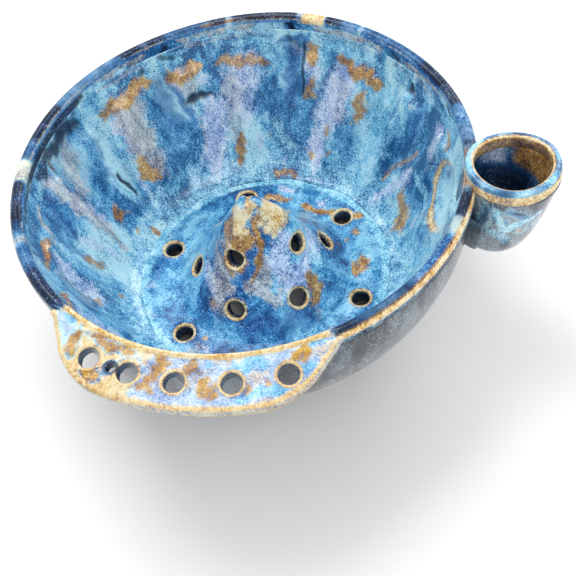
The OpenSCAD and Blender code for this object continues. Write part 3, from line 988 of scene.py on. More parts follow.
    def hollow_edge(self, points: np.ndarray) -> tuple[np.ndarray, np.ndarray]:
        """Return the sharp edge of the thumb hollow at the wall's points, and a wider band about it."""
        a, _, z = polar(points)
        dx = turn(a - self.hollow_angle) * math.pi / 180 * self.hollow_radius
        dz = z - (self.shape.rim_top - self.hollow_drop)
        off = (np.hypot(dx / 13.2, dz / 12.4) - 1.0) * 13
        side = soft_step((dx - 0.8 * dz + 7) / 9)
        return hump(off, 0.95) * (0.25 + 0.75 * side), hump(off, 1.7) * side


@dataclass
class RolledRim(ClayPiece):
    """The rolled rim, with dark glaze on top and broken lines along both its edges."""

    cup: CupPlace = field(default_factory=CupPlace)
    ledge_sink: float = 1.5
    ledge_fall: float = 0.2
    steps: int = 720
    lap: float = 3.0
    cream: tuple[Stroke, ...] = (
        Stroke(85, 0, 79.5, 0, 2.6), dab(106, 0, 2.0, 0.55), dab(131.5, 0, 1.6, 0.4),
        Stroke(-171, 0, -176, 0, 1.8, 0.7), dab(-150, 0, 3.0, 0.6), Stroke(-16, 0, -11, 0, 2.2, 0.5),
        dab(67, 0, 1.6, 0.5))
    blue: tuple[Stroke, ...] = (
        Stroke(72, 0, 48, 0, 4, 0.6), Stroke(24, 0, 17, 0, 4), Stroke(160, 0, 143, 0, 4, 0.75),
        dab(179, 0, 5, 0.6), Stroke(-31, 0, -18, 0, 4, 0.9), Stroke(-152, 0, -144, 0, 5, 0.8),
        Stroke(124, 0, 115, 0, 4, 0.5), Stroke(-46, 0, -38, 0, 5, 0.5))
    face: dict[Mask, tuple[Stroke, ...]] = field(default_factory=lambda: {
        Mask.NIGHT: (
            Stroke(158, -3, 186, -5, 4.4), dab(126, -3.5, 3.0, 0.9), Stroke(90, -3, 86, -9, 2.4),
            dab(53.8, -4, 2.6, 0.9), dab(28, -3, 3.0, 0.8), Stroke(-172, -4, -158, -4, 3.0, 0.8),
            dab(113, -2, 1.6, 0.7), dab(147, -3, 1.6, 0.5)),
        Mask.ROSE: (
            Stroke(149, -2.6, 134, -3.6, 2.0, 0.9), Stroke(121, -3, 100, -3.4, 2.2, 0.9),
            Stroke(80, -4.6, 60, -3.6, 2.2, 0.9), Stroke(51, -4.6, 36, -3.2, 2.2, 0.9)),
        Mask.SKY: (
            Stroke(157, -5.6, 137, -6.2, 1.8, 0.7), Stroke(118, -6.2, 100, -6.4, 1.4, 0.6),
            dab(46, -6, 1.8, 0.5)),
        Mask.AMBER: (
            Stroke(114, -0.9, 91, -0.9, 0.9, 0.9), dab(32.6, -2.2, 1.6, 0.8), dab(141, -1.6, 1.2, 0.5)),
    })

    def section(self) -> list[tuple[float, float]]:
        """Return the rim's section: a straight inside, a round top and a rolled outer foot."""
        sh = self.shape
        bead = sh.rim_width / 2
        middle = sh.rim_radius - bead + 0.1
        line = [(sh.rim_radius - sh.rim_width + 0.05 * k, sh.rim_seat + 1.0 * k) for k in range(4)]
        for i in range(21):
            t = math.pi * (1 - i / 20)
            line.append((middle + (bead - 0.1) * math.cos(t), sh.rim_top - bead + bead * math.sin(t)))
        foot = ((0.0, 2.4), (0.1, 1.1), (0.5, 0.25), (1.1, -0.15), (2.2, 0.0))
        return line + [(sh.rim_radius - inset, sh.rim_seat + rise) for inset, rise in foot]

    def build(self) -> bpy.types.Object:
        """Turn the rim, let it down under the ledge, press it at the cup, and paint it."""
        sh = self.shape
        obj = Clay.turned(self.name, self.section(), self.steps)
        points = Clay.points(obj)
        a, r, z = polar(points)
        lapped = r - sh.rim_radius + self.lap
        under = sh.rim_top - self.ledge_sink - np.clip(lapped, 0, None) * self.ledge_fall
        tuck = sh.in_ledge(a) * soft_step((lapped + 0.4) / 0.7)
        points[:, 2] = np.where(z > under, z + (under - z) * tuck, z)
        Clay.place(obj, sh.thrown(self.cup.pressed(points, sh)))
        Clay.paint(obj, self.dress(a, r - (sh.rim_radius - sh.rim_width), z))
        return obj

    def dress(self, a: np.ndarray, across: np.ndarray, z: np.ndarray) -> Masks:
        """Paint the rim.

        Args:
            a: Direction of each point as turned, in degrees.
            across: How far each point lies out from the rim's inside.
            z: Height of each point as turned.

        Returns:
            The rim's masks.
        """
        sh = self.shape
        up = (z - sh.rim_seat) / sh.rim_height
        level = np.zeros_like(a)
        cream = cover(self.cream, a, level, sh.rim_radius)
        blue = cover(self.blue, a, level, sh.rim_radius)
        ledge = sh.in_ledge(a)
        top = soft_step((up - 0.5) / 0.2)
        inner_face = soft_step((0.82 - up) / 0.25) * (across < 1.6)
        gold = within(a, -28, 38, 14)
        edge = np.maximum(gold, 0.7 * within(a, -168, 24, 8))
        outer_line = hump(across - 4.95, 0.30 + 0.30 * gold) * soft_step((up - 0.35) / 0.2)
        inner_line = hump(across - 0.75, 0.28) * soft_step((up - 0.7) / 0.1)
        cup = within(a, sh.cup_angle, 9, 4)
        night = (1 - 0.75 * blue) * (1 - cream) * (1 - ledge) * (1 - 0.8 * cup)
        runs = 0.5 + 0.5 * np.sin(np.radians(a) * 71 + 2.4 * np.sin(np.radians(a) * 19))
        pools = 0.5 + 0.5 * np.sin(np.radians(a) * 9 + 1.7 * np.sin(np.radians(a) * 5 + 1))
        masks = Masks({mask: inner_face * cover(strokes, a, z - sh.rim_top, sh.rim_radius)
                       for mask, strokes in self.face.items()})
        masks[Mask.ROSE] *= 0.7 + 0.3 * runs
        masks.lay(Mask.AMBER, within(a, 102, 16, 6) * hump(across - 1.5, 0.9) * top, cup * 0.8 * top,
                  hump(across - 4.5, 0.9) * gold * top, ledge * soft_step((across - 0.4) / 0.5) * 0.5)
        masks.lay(Mask.NIGHT, 0.95 * night * top * soft_step((across - 0.2) / 0.7))
        masks.lay(Mask.CREST, outer_line * edge * (1 - ledge), inner_line * (0.2 + 0.4 * pools),
                  cream * top * 0.9, ledge * soft_step((across - 0.2) / 0.4) * soft_step((up - 0.8) / 0.1))
        masks.lay(Mask.DUSK, 0.85 * top * (1 - cream), 0.35 * inner_face * (1 - runs))
        masks[Mask.PALE] = 0.3 * blue * top
        masks[Mask.BACK] = (across > 3.4) * soft_step((0.45 - up) / 0.12)
        return masks


@dataclass
class BowlFloor(ClayPiece):
    """The flat floor with its drain holes and the bright groove where the wall stands on it."""

    angles: tuple[float, ...] = (51, 113, 169, 232, 291, 349)
    circle: float = 41.4
    hole_radius: float = 3.5
    groove_radius: float = 49.3
    opening: float = 34.0
    bed_radius: float = 52.9
    bore_reach: float = 14.0
    ring_reach: float = 7.5
    steps: int = 256
    voxel: float = 0.62
    passes: int = 5
    top_line: tuple[tuple[float, float], ...] = (
        (55.5, -3.2), (54.5, -0.6), (52.0, -0.2), (50.8, -0.35), (49.6, -0.5), (48.2, -0.3), (46.5, 0.0),
        (39.5, 0.02), (37.5, 0.12), (36.2, 0.3), (35.2, 0.5), (34.0, 0.6))
    paint: dict[Mask, tuple[Stroke, ...]] = field(default_factory=lambda: {
        Mask.AMBER: (
            Stroke(9, 36.0, 18, 33.4, 1.7), Stroke(20, 33.4, 32.4, 32.8, 2.0), dab(32.4, 24.4, 2.2, 0.8),
            dab(30.6, 20, 1.4, 0.7), Stroke(38.4, 11.4, 36.8, 5.2, 2.8), Stroke(-7, 39.4, 1, 39.0, 2.0, 0.9),
            dab(-16.4, -34.5, 1.3, 0.8)),
        Mask.PALE: (
            Stroke(-3.5, 45, 2, 44.8, 1.6), dab(16.6, 38.5, 2.4), dab(-45.6, -11, 2.2, 0.7),
            dab(-41, -26, 1.8, 0.6), dab(-15.8, -39.6, 2.2, 0.8), dab(40.6, 13.5, 1.2, 0.7)),
        Mask.ROSE: (dab(-20, -40, 2.6, 0.7), dab(-44, 14, 2.4, 0.5), Stroke(32, -24, 30, -30, 1.6, 0.5)),
        Mask.DUSK: (
            dab(5, 44.6, 2.0, 0.85), Stroke(-16, -36.5, 14, -38.5, 3.6, 0.7),
            Stroke(-44, -4, -43, 4, 2.2, 0.75), Stroke(26, -30, 36, -18, 2.0, 0.5),
            Stroke(-34, -24, -26, -32, 2.2, 0.6), dab(34, 30, 1.6, 0.6), Stroke(-36, 20, -30, 28, 2.4, 0.5)),
        Mask.NIGHT: (dab(-4.4, -38.6, 1.0), dab(-0.6, -39.4, 1.0), dab(-35.5, -16.5, 0.9, 0.8)),
    })

    def holes(self) -> list[Hole]:
        """Return the floor's drain holes."""
        return [Hole(around(self.circle, a, self.shape.floor_top), (0, 0, 1), self.hole_radius,
                     self.bore_reach) for a in self.angles]

    def build(self) -> bpy.types.Object:
        """Turn the floor, bore its holes, melt its edges and paint it."""
        sh = self.shape
        low = sh.floor_top - sh.floor_thickness + 0.05
        section = [(self.opening, low), (self.bed_radius, low)]
        section += [(r, sh.floor_top + rise) for r, rise in self.top_line]
        obj = Clay.turned(self.name, section, self.steps)
        Clay.bore(obj, self.holes())
        Clay.soften(obj, self.voxel, self.passes)
        points = Clay.points(obj)
        a, r, z = polar(points)
        top = soft_step((z - sh.floor_top + 1.6) / 0.8)
        masks = self.dress(points, top)
        lumps = 0.22 * np.sin(r * 0.45 + 2 * np.sin(np.radians(a) * 4)) * np.sin(np.radians(a) * 7 + 1)
        ridges = 0.35 * hump(edge_distance(points, self.holes()) - 0.9, 0.8)
        points[:, 2] += top * (ridges + lumps)
        Clay.place(obj, sh.thrown(points))
        Clay.paint(obj, masks)
        return obj

    def dress(self, points: np.ndarray, top: np.ndarray) -> Masks:
        """Paint the floor.

        Args:
            points: The floor's points, before the glaze's ridges and lumps.
            top: How far each point belongs to the floor's upper face, from 0 to 1.

        Returns:
            The floor's masks.
        """
        a, r, z = polar(points)
        breaks = hole_breaks(points, self.holes(), self.ring_reach)
        # side sets how strongly the groove's painted reflection shows, strongest towards directions 25 and
        # 205.
        side = 0.6 + 0.4 * np.abs(np.cos(np.radians(a - 25)))
        masks = Masks({mask: top * cover(strokes, points[:, 0], points[:, 1])
                       for mask, strokes in self.paint.items()})
        clear = 1 - np.maximum(masks[Mask.AMBER], masks[Mask.PALE])
        off = r - self.groove_radius
        # The groove's bright cyan band: glaze pooled in the groove, with a painted reflection of the light
        # along it.
        masks[Mask.SKY] = top * clear * 1.4 * hump(off, 2.0) * (0.85 + 0.15 * side)
        # Painted shade: DUSK round the cone's foot and along the floor side of the groove.
        shade = np.maximum(0.3 * soft_step((39 - r) / 5), 0.45 * hump(off + 4.0, 1.4))
        masks.lay(Mask.DUSK, top * clear * shade)
        masks[Mask.CREST] = top * breaks["ring"]
        masks.lay(Mask.AMBER, 0.8 * top * breaks["glow"])
        # Painted shade in the drain holes' bores.
        masks.lay(Mask.NIGHT, 0.9 * breaks["bore"])
        masks[Mask.BACK] = 1 - soft_step((z - self.shape.floor_top + 3.2) / 1.4)
        return masks


@dataclass
class StrainerCone(ClayPiece):
    """The hollow pointed cone, pinched up by hand, with its two rows of drain holes."""

    height: float = 46.0
    radius: float = 35.5
    wall: float = 4.4
    tip_radius: float = 3.8
    low_angles: tuple[float, ...] = (26, 84, 141, 195, 260, 317)
    high_angles: tuple[float, ...] = (-4, 126, 249)
    low_share: float = 0.22
    high_share: float = 0.51
    front_rise: float = 3.2
    hole_radius: float = 3.5
    facing: float = -67.0
    bore_reach: float = 9.0
    ring_reach: float = 3.4
    steps: int = 192
    voxel: float = 0.5
    passes: int = 5
    paint: dict[Mask, tuple[Stroke, ...]] = field(default_factory=lambda: {
        Mask.CREST: (
            Stroke(-2.2, 43, -5.6, 36, 2.7, 0.95), Stroke(4.2, 41.5, 9.0, 33, 2.9, 0.95),
            dab(-9.4, 30.5, 1.6, 0.6), dab(-0.4, 46, 3.4, 0.9)),
        Mask.AMBER: (
            Stroke(1.0, 40, 0.2, 31, 1.8), Stroke(-5, 34, -10.5, 26.5, 4.2), dab(-12.6, 23.5, 3.0, 0.8),
            Stroke(-7.4, 40, -11, 33, 1.8, 0.8), Stroke(0.2, 28.6, -1.6, 24.6, 1.5),
            Stroke(-1.6, 24.6, -5.6, 19.6, 1.0, 0.9), Stroke(17, 12.5, 18.4, 7, 2.5),
            dab(-23, 9.5, 1.6, 0.7), dab(36.0, 3.3, 0.8), dab(17.4, 2.6, 2.6, 0.5),
            Stroke(9.6, 37, 12, 32, 1.3, 0.6)),
        Mask.PALE: (
            Stroke(5.5, 25, 9, 16, 5.0, 0.9), Stroke(9, 16, 18.5, 17, 4.0, 0.85), dab(10, 27.5, 3.6, 0.8),
            dab(-21, 13, 4.6, 0.75), Stroke(20, 21, 23, 14, 2.0, 0.6)),
        Mask.ROSE: (
            Stroke(0.6, 25, -2.6, 16.6, 3.0, 0.95), Stroke(-7.0, 17.4, 3.0, 12.6, 2.8, 0.9),
            Stroke(-20.5, 9.5, -15.5, 20.5, 3.4, 0.85), dab(6, 17, 3.0, 0.5)),
        Mask.DUSK: (
            Stroke(-4.6, 28.6, -6.6, 21, 3.2), dab(-15, 11, 2.8, 0.7), Stroke(6, 30, 4.6, 27, 2.0, 0.6),
            Stroke(-14, 5.4, 12, 4.4, 3.6, 0.8), Stroke(-22, 5, -28, 3, 2.6, 0.6),
            Stroke(4, 9.5, 9, 8, 2.2, 0.6)),
        Mask.SKY: (
            Stroke(14.4, 22.6, 19.4, 16.7, 1.0), Stroke(19.4, 16.7, 23.4, 11.4, 1.1),
            Stroke(12, 29, 14.4, 24, 0.8, 0.8), dab(21, 10, 2.6, 0.5)),
        Mask.NIGHT: (Stroke(-12.4, 22, -9.4, 33, 0.6, 0.5), Stroke(2.2, 45, 4.2, 41, 0.6, 0.8)),
    })

    def side(self, inset: float, count: int = 40) -> list[tuple[float, float]]:
        """Return the cone's outline from its foot to the shoulder of its tip, set in by inset."""
        r, h = self.radius - inset, self.height - inset
        tip = self.tip_radius * (0.4 if inset > 0 else 1.0)
        return bezier(((r, 0), (r * 0.75, h * 0.14), (r * 0.31, h * 0.66), (tip, h - self.tip_radius)), count)

    def holes(self) -> list[Hole]:
        """Return the cone's drain holes, each square to its side."""
        side = self.side(0.0)
        found = []
        for angles, share, rise in ((self.low_angles, self.low_share, 0.0),
                                    (self.high_angles[:2], self.high_share, 0.0),
                                    (self.high_angles[2:], self.high_share, self.front_rise)):
            z = share * self.height + rise
            i = next(k for k in range(len(side) - 1) if side[k][1] <= z < side[k + 1][1])
            (r0, z0), (r1, z1) = side[i], side[i + 1]
            r = r0 + (z - z0) / (z1 - z0) * (r1 - r0)
            norm = math.hypot(z1 - z0, r0 - r1)
            found += [Hole(around(r, a, self.shape.floor_top + z),
                           around((z1 - z0) / norm, a, (r0 - r1) / norm), self.hole_radius, self.bore_reach)
                      for a in angles]
        return found

    def section(self) -> list[tuple[float, float]]:
        """Return the cone's section: up its side, over its tip, down its hollow and along its foot."""
        base = self.shape.floor_top
        foot = base - self.shape.floor_thickness + 0.1
        centre = self.height - self.tip_radius
        tip = [(self.tip_radius * math.cos(math.radians(15 * i)),
                centre + self.tip_radius * math.sin(math.radians(15 * i))) for i in range(1, 6)]
        hollow = self.side(self.wall)
        line = self.side(0.0) + tip + [(0.0, self.height), (0.0, hollow[-1][1])] + hollow[::-1]
        return [(r, base + z) for r, z in line] + [(self.radius - self.wall, foot), (self.radius, foot)]

    def outer(self, points: np.ndarray) -> np.ndarray:
        """Tell which points lie on the cone's outside."""
        _, r, z = polar(points)
        h = z - self.shape.floor_top
        side = self.side(0.0)
        side_radius = np.interp(h, [p[1] for p in side], [p[0] for p in side])
        return ((r > side_radius - self.wall * 0.45) | (h > self.height - self.wall)) & (h > -0.3)

    def build(self) -> bpy.types.Object:
        """Turn the cone, bore its holes, melt its edges, pinch it and paint it."""
        sh = self.shape
        obj = Clay.turned(self.name, self.section(), self.steps)
        Clay.bore(obj, self.holes())
        Clay.soften(obj, self.voxel, self.passes)
        points = Clay.points(obj)
        masks = self.dress(points)
        a, _, z = polar(points)
        h = z - sh.floor_top
        facet = np.cos(np.radians(a - 18) * 3) * 0.5 + np.cos(np.radians(a + 40) * 5) * 0.3
        lobes = np.abs(np.sin(np.radians(a + 72) * 2)) - 0.5
        press = facet * soft_step(h / 12) * soft_step((44 - h) / 10) + 0.9 * lobes * soft_step((h - 26) / 10)
        ridges = np.zeros(len(points))
        for hole in self.holes():
            along, off = hole.split(points)
            ridges = np.maximum(ridges, hump(off - self.hole_radius - 0.8, 0.8) * (np.abs(along) < 3))
        wings = 1.6 * hump(turn(a + 157), 42) + 2.8 * hump(turn(a - 23), 42)
        swell = wings * soft_step((h - 16) / 16) * soft_step((46.5 - h) / 5)
        points = moved_out(points, np.where(self.outer(points), press + swell + 0.35 * ridges, 0.0))
        points[:, 2] += soft_step((h - 26) / 20) * 0.7 * np.cos(np.radians(a * 2 + 60))
        Clay.place(obj, sh.thrown(points))
        Clay.paint(obj, masks)
        return obj

    def dress(self, points: np.ndarray) -> Masks:
        """Paint the cone.

        Args:
            points: The cone's points, before it is pinched.

        Returns:
            The cone's masks.
        """
        a, r, z = polar(points)
        h = z - self.shape.floor_top
        outer = self.outer(points)
        breaks = hole_breaks(points, self.holes(), self.ring_reach)
        front = turn(a - self.facing)
        round_back = np.radians(np.clip(np.abs(front) - 90, 0, None)) * r * np.sign(front)
        side = (r + 1.0) * np.sin(np.radians(np.clip(front, -90, 90))) + round_back
        masks = Masks({mask: outer * cover(strokes, side, h) for mask, strokes in self.paint.items()})
        far = soft_step((np.abs(front) - 125) / 20)
        masks.lay(Mask.CREST, outer * breaks["ring"], outer * far * 0.8 * soft_step((h - 31) / 8))
        masks.lay(Mask.AMBER, 0.8 * outer * breaks["glow"], outer * far * 0.7 * soft_step((h - 26) / 6))
        masks.lay(Mask.PALE, outer * far * 0.5 * soft_step((h - 8) / 8))
        # Painted shade: the bores and the cone's whole hollow are painted near black.
        masks.lay(Mask.NIGHT, breaks["bore"], (1.0 - outer) * (h > -2))
        masks[Mask.BACK] = (h < -1.5) * 1.0
        return masks


@dataclass
class PouringLedge(ClayPiece):
    """The pierced ledge that water is poured off over."""

    reach: float = 15.8
    thickness: float = 4.4
    tongue_thickness: float = 2.2
    drop: float = 1.4
    slope: float = 10.0
    lap: float = 3.0
    tip_angle: float = 23.5
    corner_angle: float = 6.0
    corner_share: float = 0.4
    hole_reach: float = 6.4
    hole_radius: float = 3.6
    small_radius: float = 1.8
    hole_angles: tuple[float, ...] = (-20.9, -11.5, -1.1, 11.0, 22.8)
    small_angle: float = -15.4
    bore_reach: float = 9.0
    ring_reach: float = 4.2
    steps: int = 150
    rows: int = 12
    slab_voxel: float = 0.8
    voxel: float = 0.42
    passes: int = 5
    paint_radius: float = 93.0
    paint: dict[Mask, tuple[Stroke, ...]] = field(default_factory=lambda: {
        Mask.AMBER: (
            Stroke(-43, 0.5, -41.5, 6.5, 2.6), Stroke(-36, -0.6, -21, -0.4, 2.0, 0.95),
            Stroke(-29, 10, -31, 12.0, 2.4), Stroke(-8.0, 0, -10.5, 9.5, 2.8),
            Stroke(4.8, -0.2, 3.0, 2.6, 2.6, 0.95), Stroke(7.6, 5.6, 11.5, 9.4, 2.8),
            dab(22.7, 8.6, 2.0, 0.8), dab(30.3, 7.5, 1.8, 0.8), Stroke(46, -1.2, 41, 2.0, 2.4),
            dab(16, -1.4, 2.0, 0.7), Stroke(-17, 0.4, -21, 3, 1.6, 0.6),
            Stroke(18, 4.4, 14.6, 6.4, 1.2, 0.6)),
        Mask.PALE: (
            Stroke(1, 11, -12, 11.4, 2.2, 0.9), Stroke(4, 11.6, 20, 11.6, 2.4, 0.9),
            dab(-2.8, -1.0, 2.2, 0.8), Stroke(27, -1, 37, -1.4, 2.8, 0.9),
            Stroke(-54, -2.6, -48, 3, 2.4, 0.85), Stroke(33, 3, 38, 8, 2.2, 0.7), dab(13, 2.6, 2.0, 0.7),
            dab(-14.5, 4, 1.8, 0.6), Stroke(-47, 1, -46, 6, 1.2, 0.6)),
        Mask.SKY: (
            dab(-50, -1.4, 2.6), Stroke(19, 1, 28, 0.6, 2.6), Stroke(21, 11.8, 34, 10.0, 2.0),
            dab(9.7, -1.0, 1.6, 0.8), Stroke(49, -2.6, 54, -2.8, 2.2), Stroke(37, 9.5, 45, 4.6, 1.6, 0.9)),
        Mask.DUSK: (
            Stroke(43.5, 6.6, 47, 3.6, 0.9, 0.9), dab(9.9, -1.2, 0.7, 0.7), dab(-50.6, -1.6, 0.9, 0.7)),
    })

    def outline(self, count: int = 16) -> tuple[np.ndarray, np.ndarray]:
        """Return half of the ledge's plan outline as angles from its middle and radii."""
        sh = self.shape
        tip = sh.rim_radius + self.reach
        root, corner, start = (np.array(around(radius, angle)[:2]) for radius, angle in (
            (sh.rim_radius, sh.ledge_half_angle), (tip, self.tip_angle),
            (tip, self.tip_angle - self.corner_angle)))
        after = corner + self.corner_share * (root - corner)
        turnover = bezier((start, (start + corner) / 2, (corner + after) / 2, after), count)
        line = [tuple(after + (root - after) * k / count) for k in range(1, count + 1)]
        points = np.array([(tip, 0.0)] + turnover + line)
        return np.degrees(np.arctan2(points[:, 1], points[:, 0])), np.hypot(points[:, 0], points[:, 1])

    def reach_at(self, b: np.ndarray) -> np.ndarray:
        """Return how far the ledge stands out at an angle from its middle."""
        angles, radii = self.outline()
        return np.interp(np.abs(b), angles, radii) - self.shape.rim_radius

    def face_at(self, out: np.ndarray) -> np.ndarray:
        """Return the height of the ledge's upper face where it stands out from the rim by out."""
        return self.shape.rim_top - self.drop - out * math.tan(math.radians(self.slope))

    def thickness_at(self, out: np.ndarray) -> np.ndarray:
        """Return how thick the ledge is there: thinner where it laps over the rim."""
        return self.thickness + (self.tongue_thickness - self.thickness) * soft_step((0.3 - out) / 0.6)

    def holes(self) -> list[Hole]:
        """Return the ledge's five pouring holes and its small one, each square to its slope."""
        fall = math.radians(self.slope)
        spot, top = self.shape.rim_radius + self.hole_reach, self.face_at(self.hole_reach)
        sizes = [(b, self.hole_radius) for b in self.hole_angles] + [(self.small_angle, self.small_radius)]
        turned = [(self.shape.ledge_middle + b, radius) for b, radius in sizes]
        return [Hole(around(spot, a, top), around(math.sin(fall), a, math.cos(fall)), radius, self.bore_reach)
                for a, radius in turned]

    def slab(self) -> bpy.types.Object:
        """Loft the ledge's slab, thin where it laps over the rim."""
        sh = self.shape
        Clay.clear_selection()
        bpy.ops.mesh.primitive_grid_add(x_subdivisions=self.steps, y_subdivisions=self.rows, size=MM)
        obj = Clay.named(self.name)
        grid = Clay.points(obj)
        b = (2 * (grid[:, 0] + 0.5) - 1) * sh.ledge_half_angle
        out = -self.lap + (self.reach_at(b) + self.lap) * (grid[:, 1] + 0.5)
        a = np.radians(sh.ledge_middle + b)
        r = sh.rim_radius + out
        middle = self.face_at(out) - self.thickness_at(out) / 2
        Clay.place(obj, np.stack([r * np.cos(a), r * np.sin(a), middle], axis=1))
        Clay.finish_modifier(obj, "SOLIDIFY", thickness=self.thickness * MM, offset=0.0)
        points = Clay.points(obj)
        _, r, z = polar(points)
        thick = self.thickness_at(r - sh.rim_radius)
        middle = self.face_at(r - sh.rim_radius) - thick / 2
        points[:, 2] = middle + (z - middle) * thick / self.thickness
        Clay.place(obj, points)
        return obj

    def build(self) -> bpy.types.Object:
        """Make the ledge's slab, bore its holes, melt its edges and paint it."""
        obj = self.slab()
        Clay.soften(obj, self.slab_voxel, self.passes)
        Clay.bore(obj, self.holes())
        Clay.soften(obj, self.voxel, self.passes)
        points = Clay.points(obj)
        a, r, z = polar(points)
        out = r - self.shape.rim_radius
        b = turn(a - self.shape.ledge_middle)
        up = (z - (self.face_at(out) - self.thickness / 2)) / (self.thickness / 2)
        top = soft_step((up - 0.1) / 0.5)
        masks = self.dress(points, b, out, up, top)
        ridges = 0.3 * hump(edge_distance(points, self.holes()[:-1]) - 0.9, 0.9)
        points[:, 2] += top * (ridges + 0.2 * np.sin(b * 0.55 + out * 0.35))
        Clay.place(obj, self.shape.thrown(points))
        Clay.paint(obj, masks)
        return obj

    def dress(self, points: np.ndarray, b: np.ndarray, out: np.ndarray, up: np.ndarray,
              top: np.ndarray) -> Masks:
        """Paint the ledge.

        Args:
            points: The ledge's points, before the glaze's ridges.
            b: Angle of each point from the ledge's middle.
            out: How far each point stands out from the rim.
            up: Height of each point over the middle of the slab, as a share of half its thickness.
            top: How far each point belongs to the upper face, from 0 to 1.

        Returns:
            The ledge's masks.
        """
        breaks = hole_breaks(points, self.holes()[:-1], self.ring_reach)
        small = hole_breaks(points, self.holes()[-1:], self.ring_reach)
        side = b * math.pi / 180 * self.paint_radius
        masks = Masks({mask: top * cover(strokes, side, out) for mask, strokes in self.paint.items()})
        bare = np.clip(1 - 1.35 * np.maximum.reduce(list(masks.values())), 0.0, 1.0)
        rim_line = hump(self.reach_at(b) - out - 0.9, 1.5) * (up > -0.6)
        masks.lay(Mask.CREST, top * bare * (0.62 + 0.3 * soft_step((-side - 4) / 20)), breaks["ring"] * top,
                  rim_line * 0.95)
        masks.lay(Mask.PALE, top * 0.8 * (1 - soft_step((-side - 10) / 16)))
        masks[Mask.ROSE] = 0.3 * top * bare
        masks.lay(Mask.AMBER, 0.7 * breaks["glow"] * top, 0.25 * top * soft_step(-side / 10),
                  0.9 * soft_step((0.15 - up) / 0.3) * soft_step((up + 0.6) / 0.3) * (side > 4))
        # Painted shade: the bores of the pouring holes, and the small hole with its ring, are painted near
        # black.
        masks.lay(Mask.NIGHT, breaks["bore"] * 0.95, small["bore"], 0.85 * small["ring"])
        masks[Mask.CREST] *= 1 - masks[Mask.NIGHT]
        masks[Mask.BACK] = soft_step((-0.35 - up) / 0.3)
        return masks


@dataclass
class SideCup(ClayPiece):
    """The small cup's body, with throwing rings inside."""

    cup: CupPlace = field(default_factory=CupPlace)
    top: float = 1.2
    facing: float = -72.0
    steps: int = 192
    paint: dict[Mask, tuple[Stroke, ...]] = field(default_factory=lambda: {
        Mask.SKY: (
            Stroke(-9, -3, -4.5, -12, 1.5, 0.9), Stroke(-4.5, -12, 1.5, -6, 1.4, 0.9),
            Stroke(1.5, -6, 8, -3.5, 1.4, 0.7), Stroke(-7, -14, -1, -18, 2.0, 0.5)),
        Mask.DUSK: (
            Stroke(-5, -2, 1, -3, 1.8, 0.9), Stroke(-4, -7, -5.5, -14, 1.2, 0.8), dab(7, -8, 2.2, 0.5)),
        Mask.NIGHT: (Stroke(-13, -3, -12, -20, 1.6, 0.8), Stroke(-3.5, -1.5, 0, -2, 1.0, 0.8)),
        Mask.AMBER: (dab(2.4, -11, 1.6, 0.75), Stroke(13, -3, 11, -12, 1.6, 0.4)),
        Mask.ROSE: (
            dab(3, -10.6, 2.6, 0.7), Stroke(6, -5, 11, -14, 2.4, 0.55), Stroke(-10, -2, -11, -12, 1.4, 0.5)),
    })

    def build(self) -> bpy.types.Object:
        """Turn the cup, trim its top to the lip, place it and paint it."""
        c, sh = self.cup, self.shape
        foot = -(c.height - c.lip_height)
        inside = [(r + 0.12 * math.sin(z * 1.7), z) for r, z in c.side(c.wall)]
        section = [(c.radius, self.top)] + c.side(0.0) + [(0.0, foot), (0.0, foot + c.wall)]
        section += inside[::-1] + [(c.radius - c.wall, self.top)]
        obj = Clay.turned(self.name, section, self.steps)
        Clay.finish_modifier(obj, "SUBSURF", levels=1, render_levels=1)
        own = Clay.points(obj)
        a, r, z = polar(own)
        middle = c.side(c.wall / 2)
        inner = (r < np.interp(-z, [-q[1] for q in middle], [q[0] for q in middle])) & (z > foot + c.wall / 2)
        own[:, :2] *= c.oval(a, z)
        normal = np.array(c.body(sh))[:3, :3].T @ np.array(c.mouth(sh))[:3, 2]
        plane = -(own[:, 0] * normal[0] + own[:, 1] * normal[1]) / normal[2] + self.top * 0.6
        own[:, 2] += (plane - self.top) * soft_step((z + 12) / 13)
        Clay.place(obj, sh.thrown(c.put(own, c.body(sh))))
        Clay.paint(obj, self.dress(a, own[:, 2], inner))
        return obj

    def dress(self, a: np.ndarray, z: np.ndarray, inner: np.ndarray) -> Masks:
        """Paint the cup.

        Args:
            a: Direction of each point round the cup, in degrees.
            z: Height of each point over the lip's underside, along the cup's axis.
            inner: Which points lie on its inside.

        Returns:
            The cup's masks.
        """
        outer = 1.0 - inner
        side = np.radians(turn(a - self.facing)) * self.cup.radius
        masks = Masks({mask: outer * cover(strokes, side, z) for mask, strokes in self.paint.items()})
        laid = np.maximum.reduce(list(masks.values()))
        amber = inner * within(a, 48, 58, 36) * soft_step((z + 13) / 7)
        rings = inner * (0.5 + 0.5 * np.sin(z * 1.7 + 0.6)) * within(a, 70, 70, 40) * soft_step((-z - 9) / 4)
        # sash: a diagonal pale band across the inside, where the painted shade is lifted.
        sash = inner * soft_step((36 - np.abs(turn(a - 128) - z * 2.0)) / 24) * soft_step((z + 13) / 5)
        teal = inner * within(a, -12, 34, 20)
        masks.lay(Mask.AMBER, amber * (1 - sash), 0.5 * rings)
        masks[Mask.PALE] = 0.7 * sash
        masks.lay(Mask.SKY, 0.4 * teal)
        masks.lay(Mask.DUSK, inner * 0.9)
        # Painted shade inside the cup: NIGHT deepens towards the bottom and is lifted in the sash and the
        # teal band.
        masks.lay(Mask.NIGHT, inner * (1 - 0.8 * sash) * (1 - 0.7 * teal) * np.maximum(
            0.9 * soft_step((-z - 9) / 8), 0.75 * (1 - amber)))
        # Painted reflection: a gold ring low inside the cup, the lip's gold line mirrored in the glaze.
        masks[Mask.CREST] = inner * 0.5 * hump(z + 24 + 2 * np.sin(np.radians(a)), 0.7)
        masks[Mask.BACK] = outer * np.clip(1 - 1.3 * laid, 0.0, 1.0)
        return masks


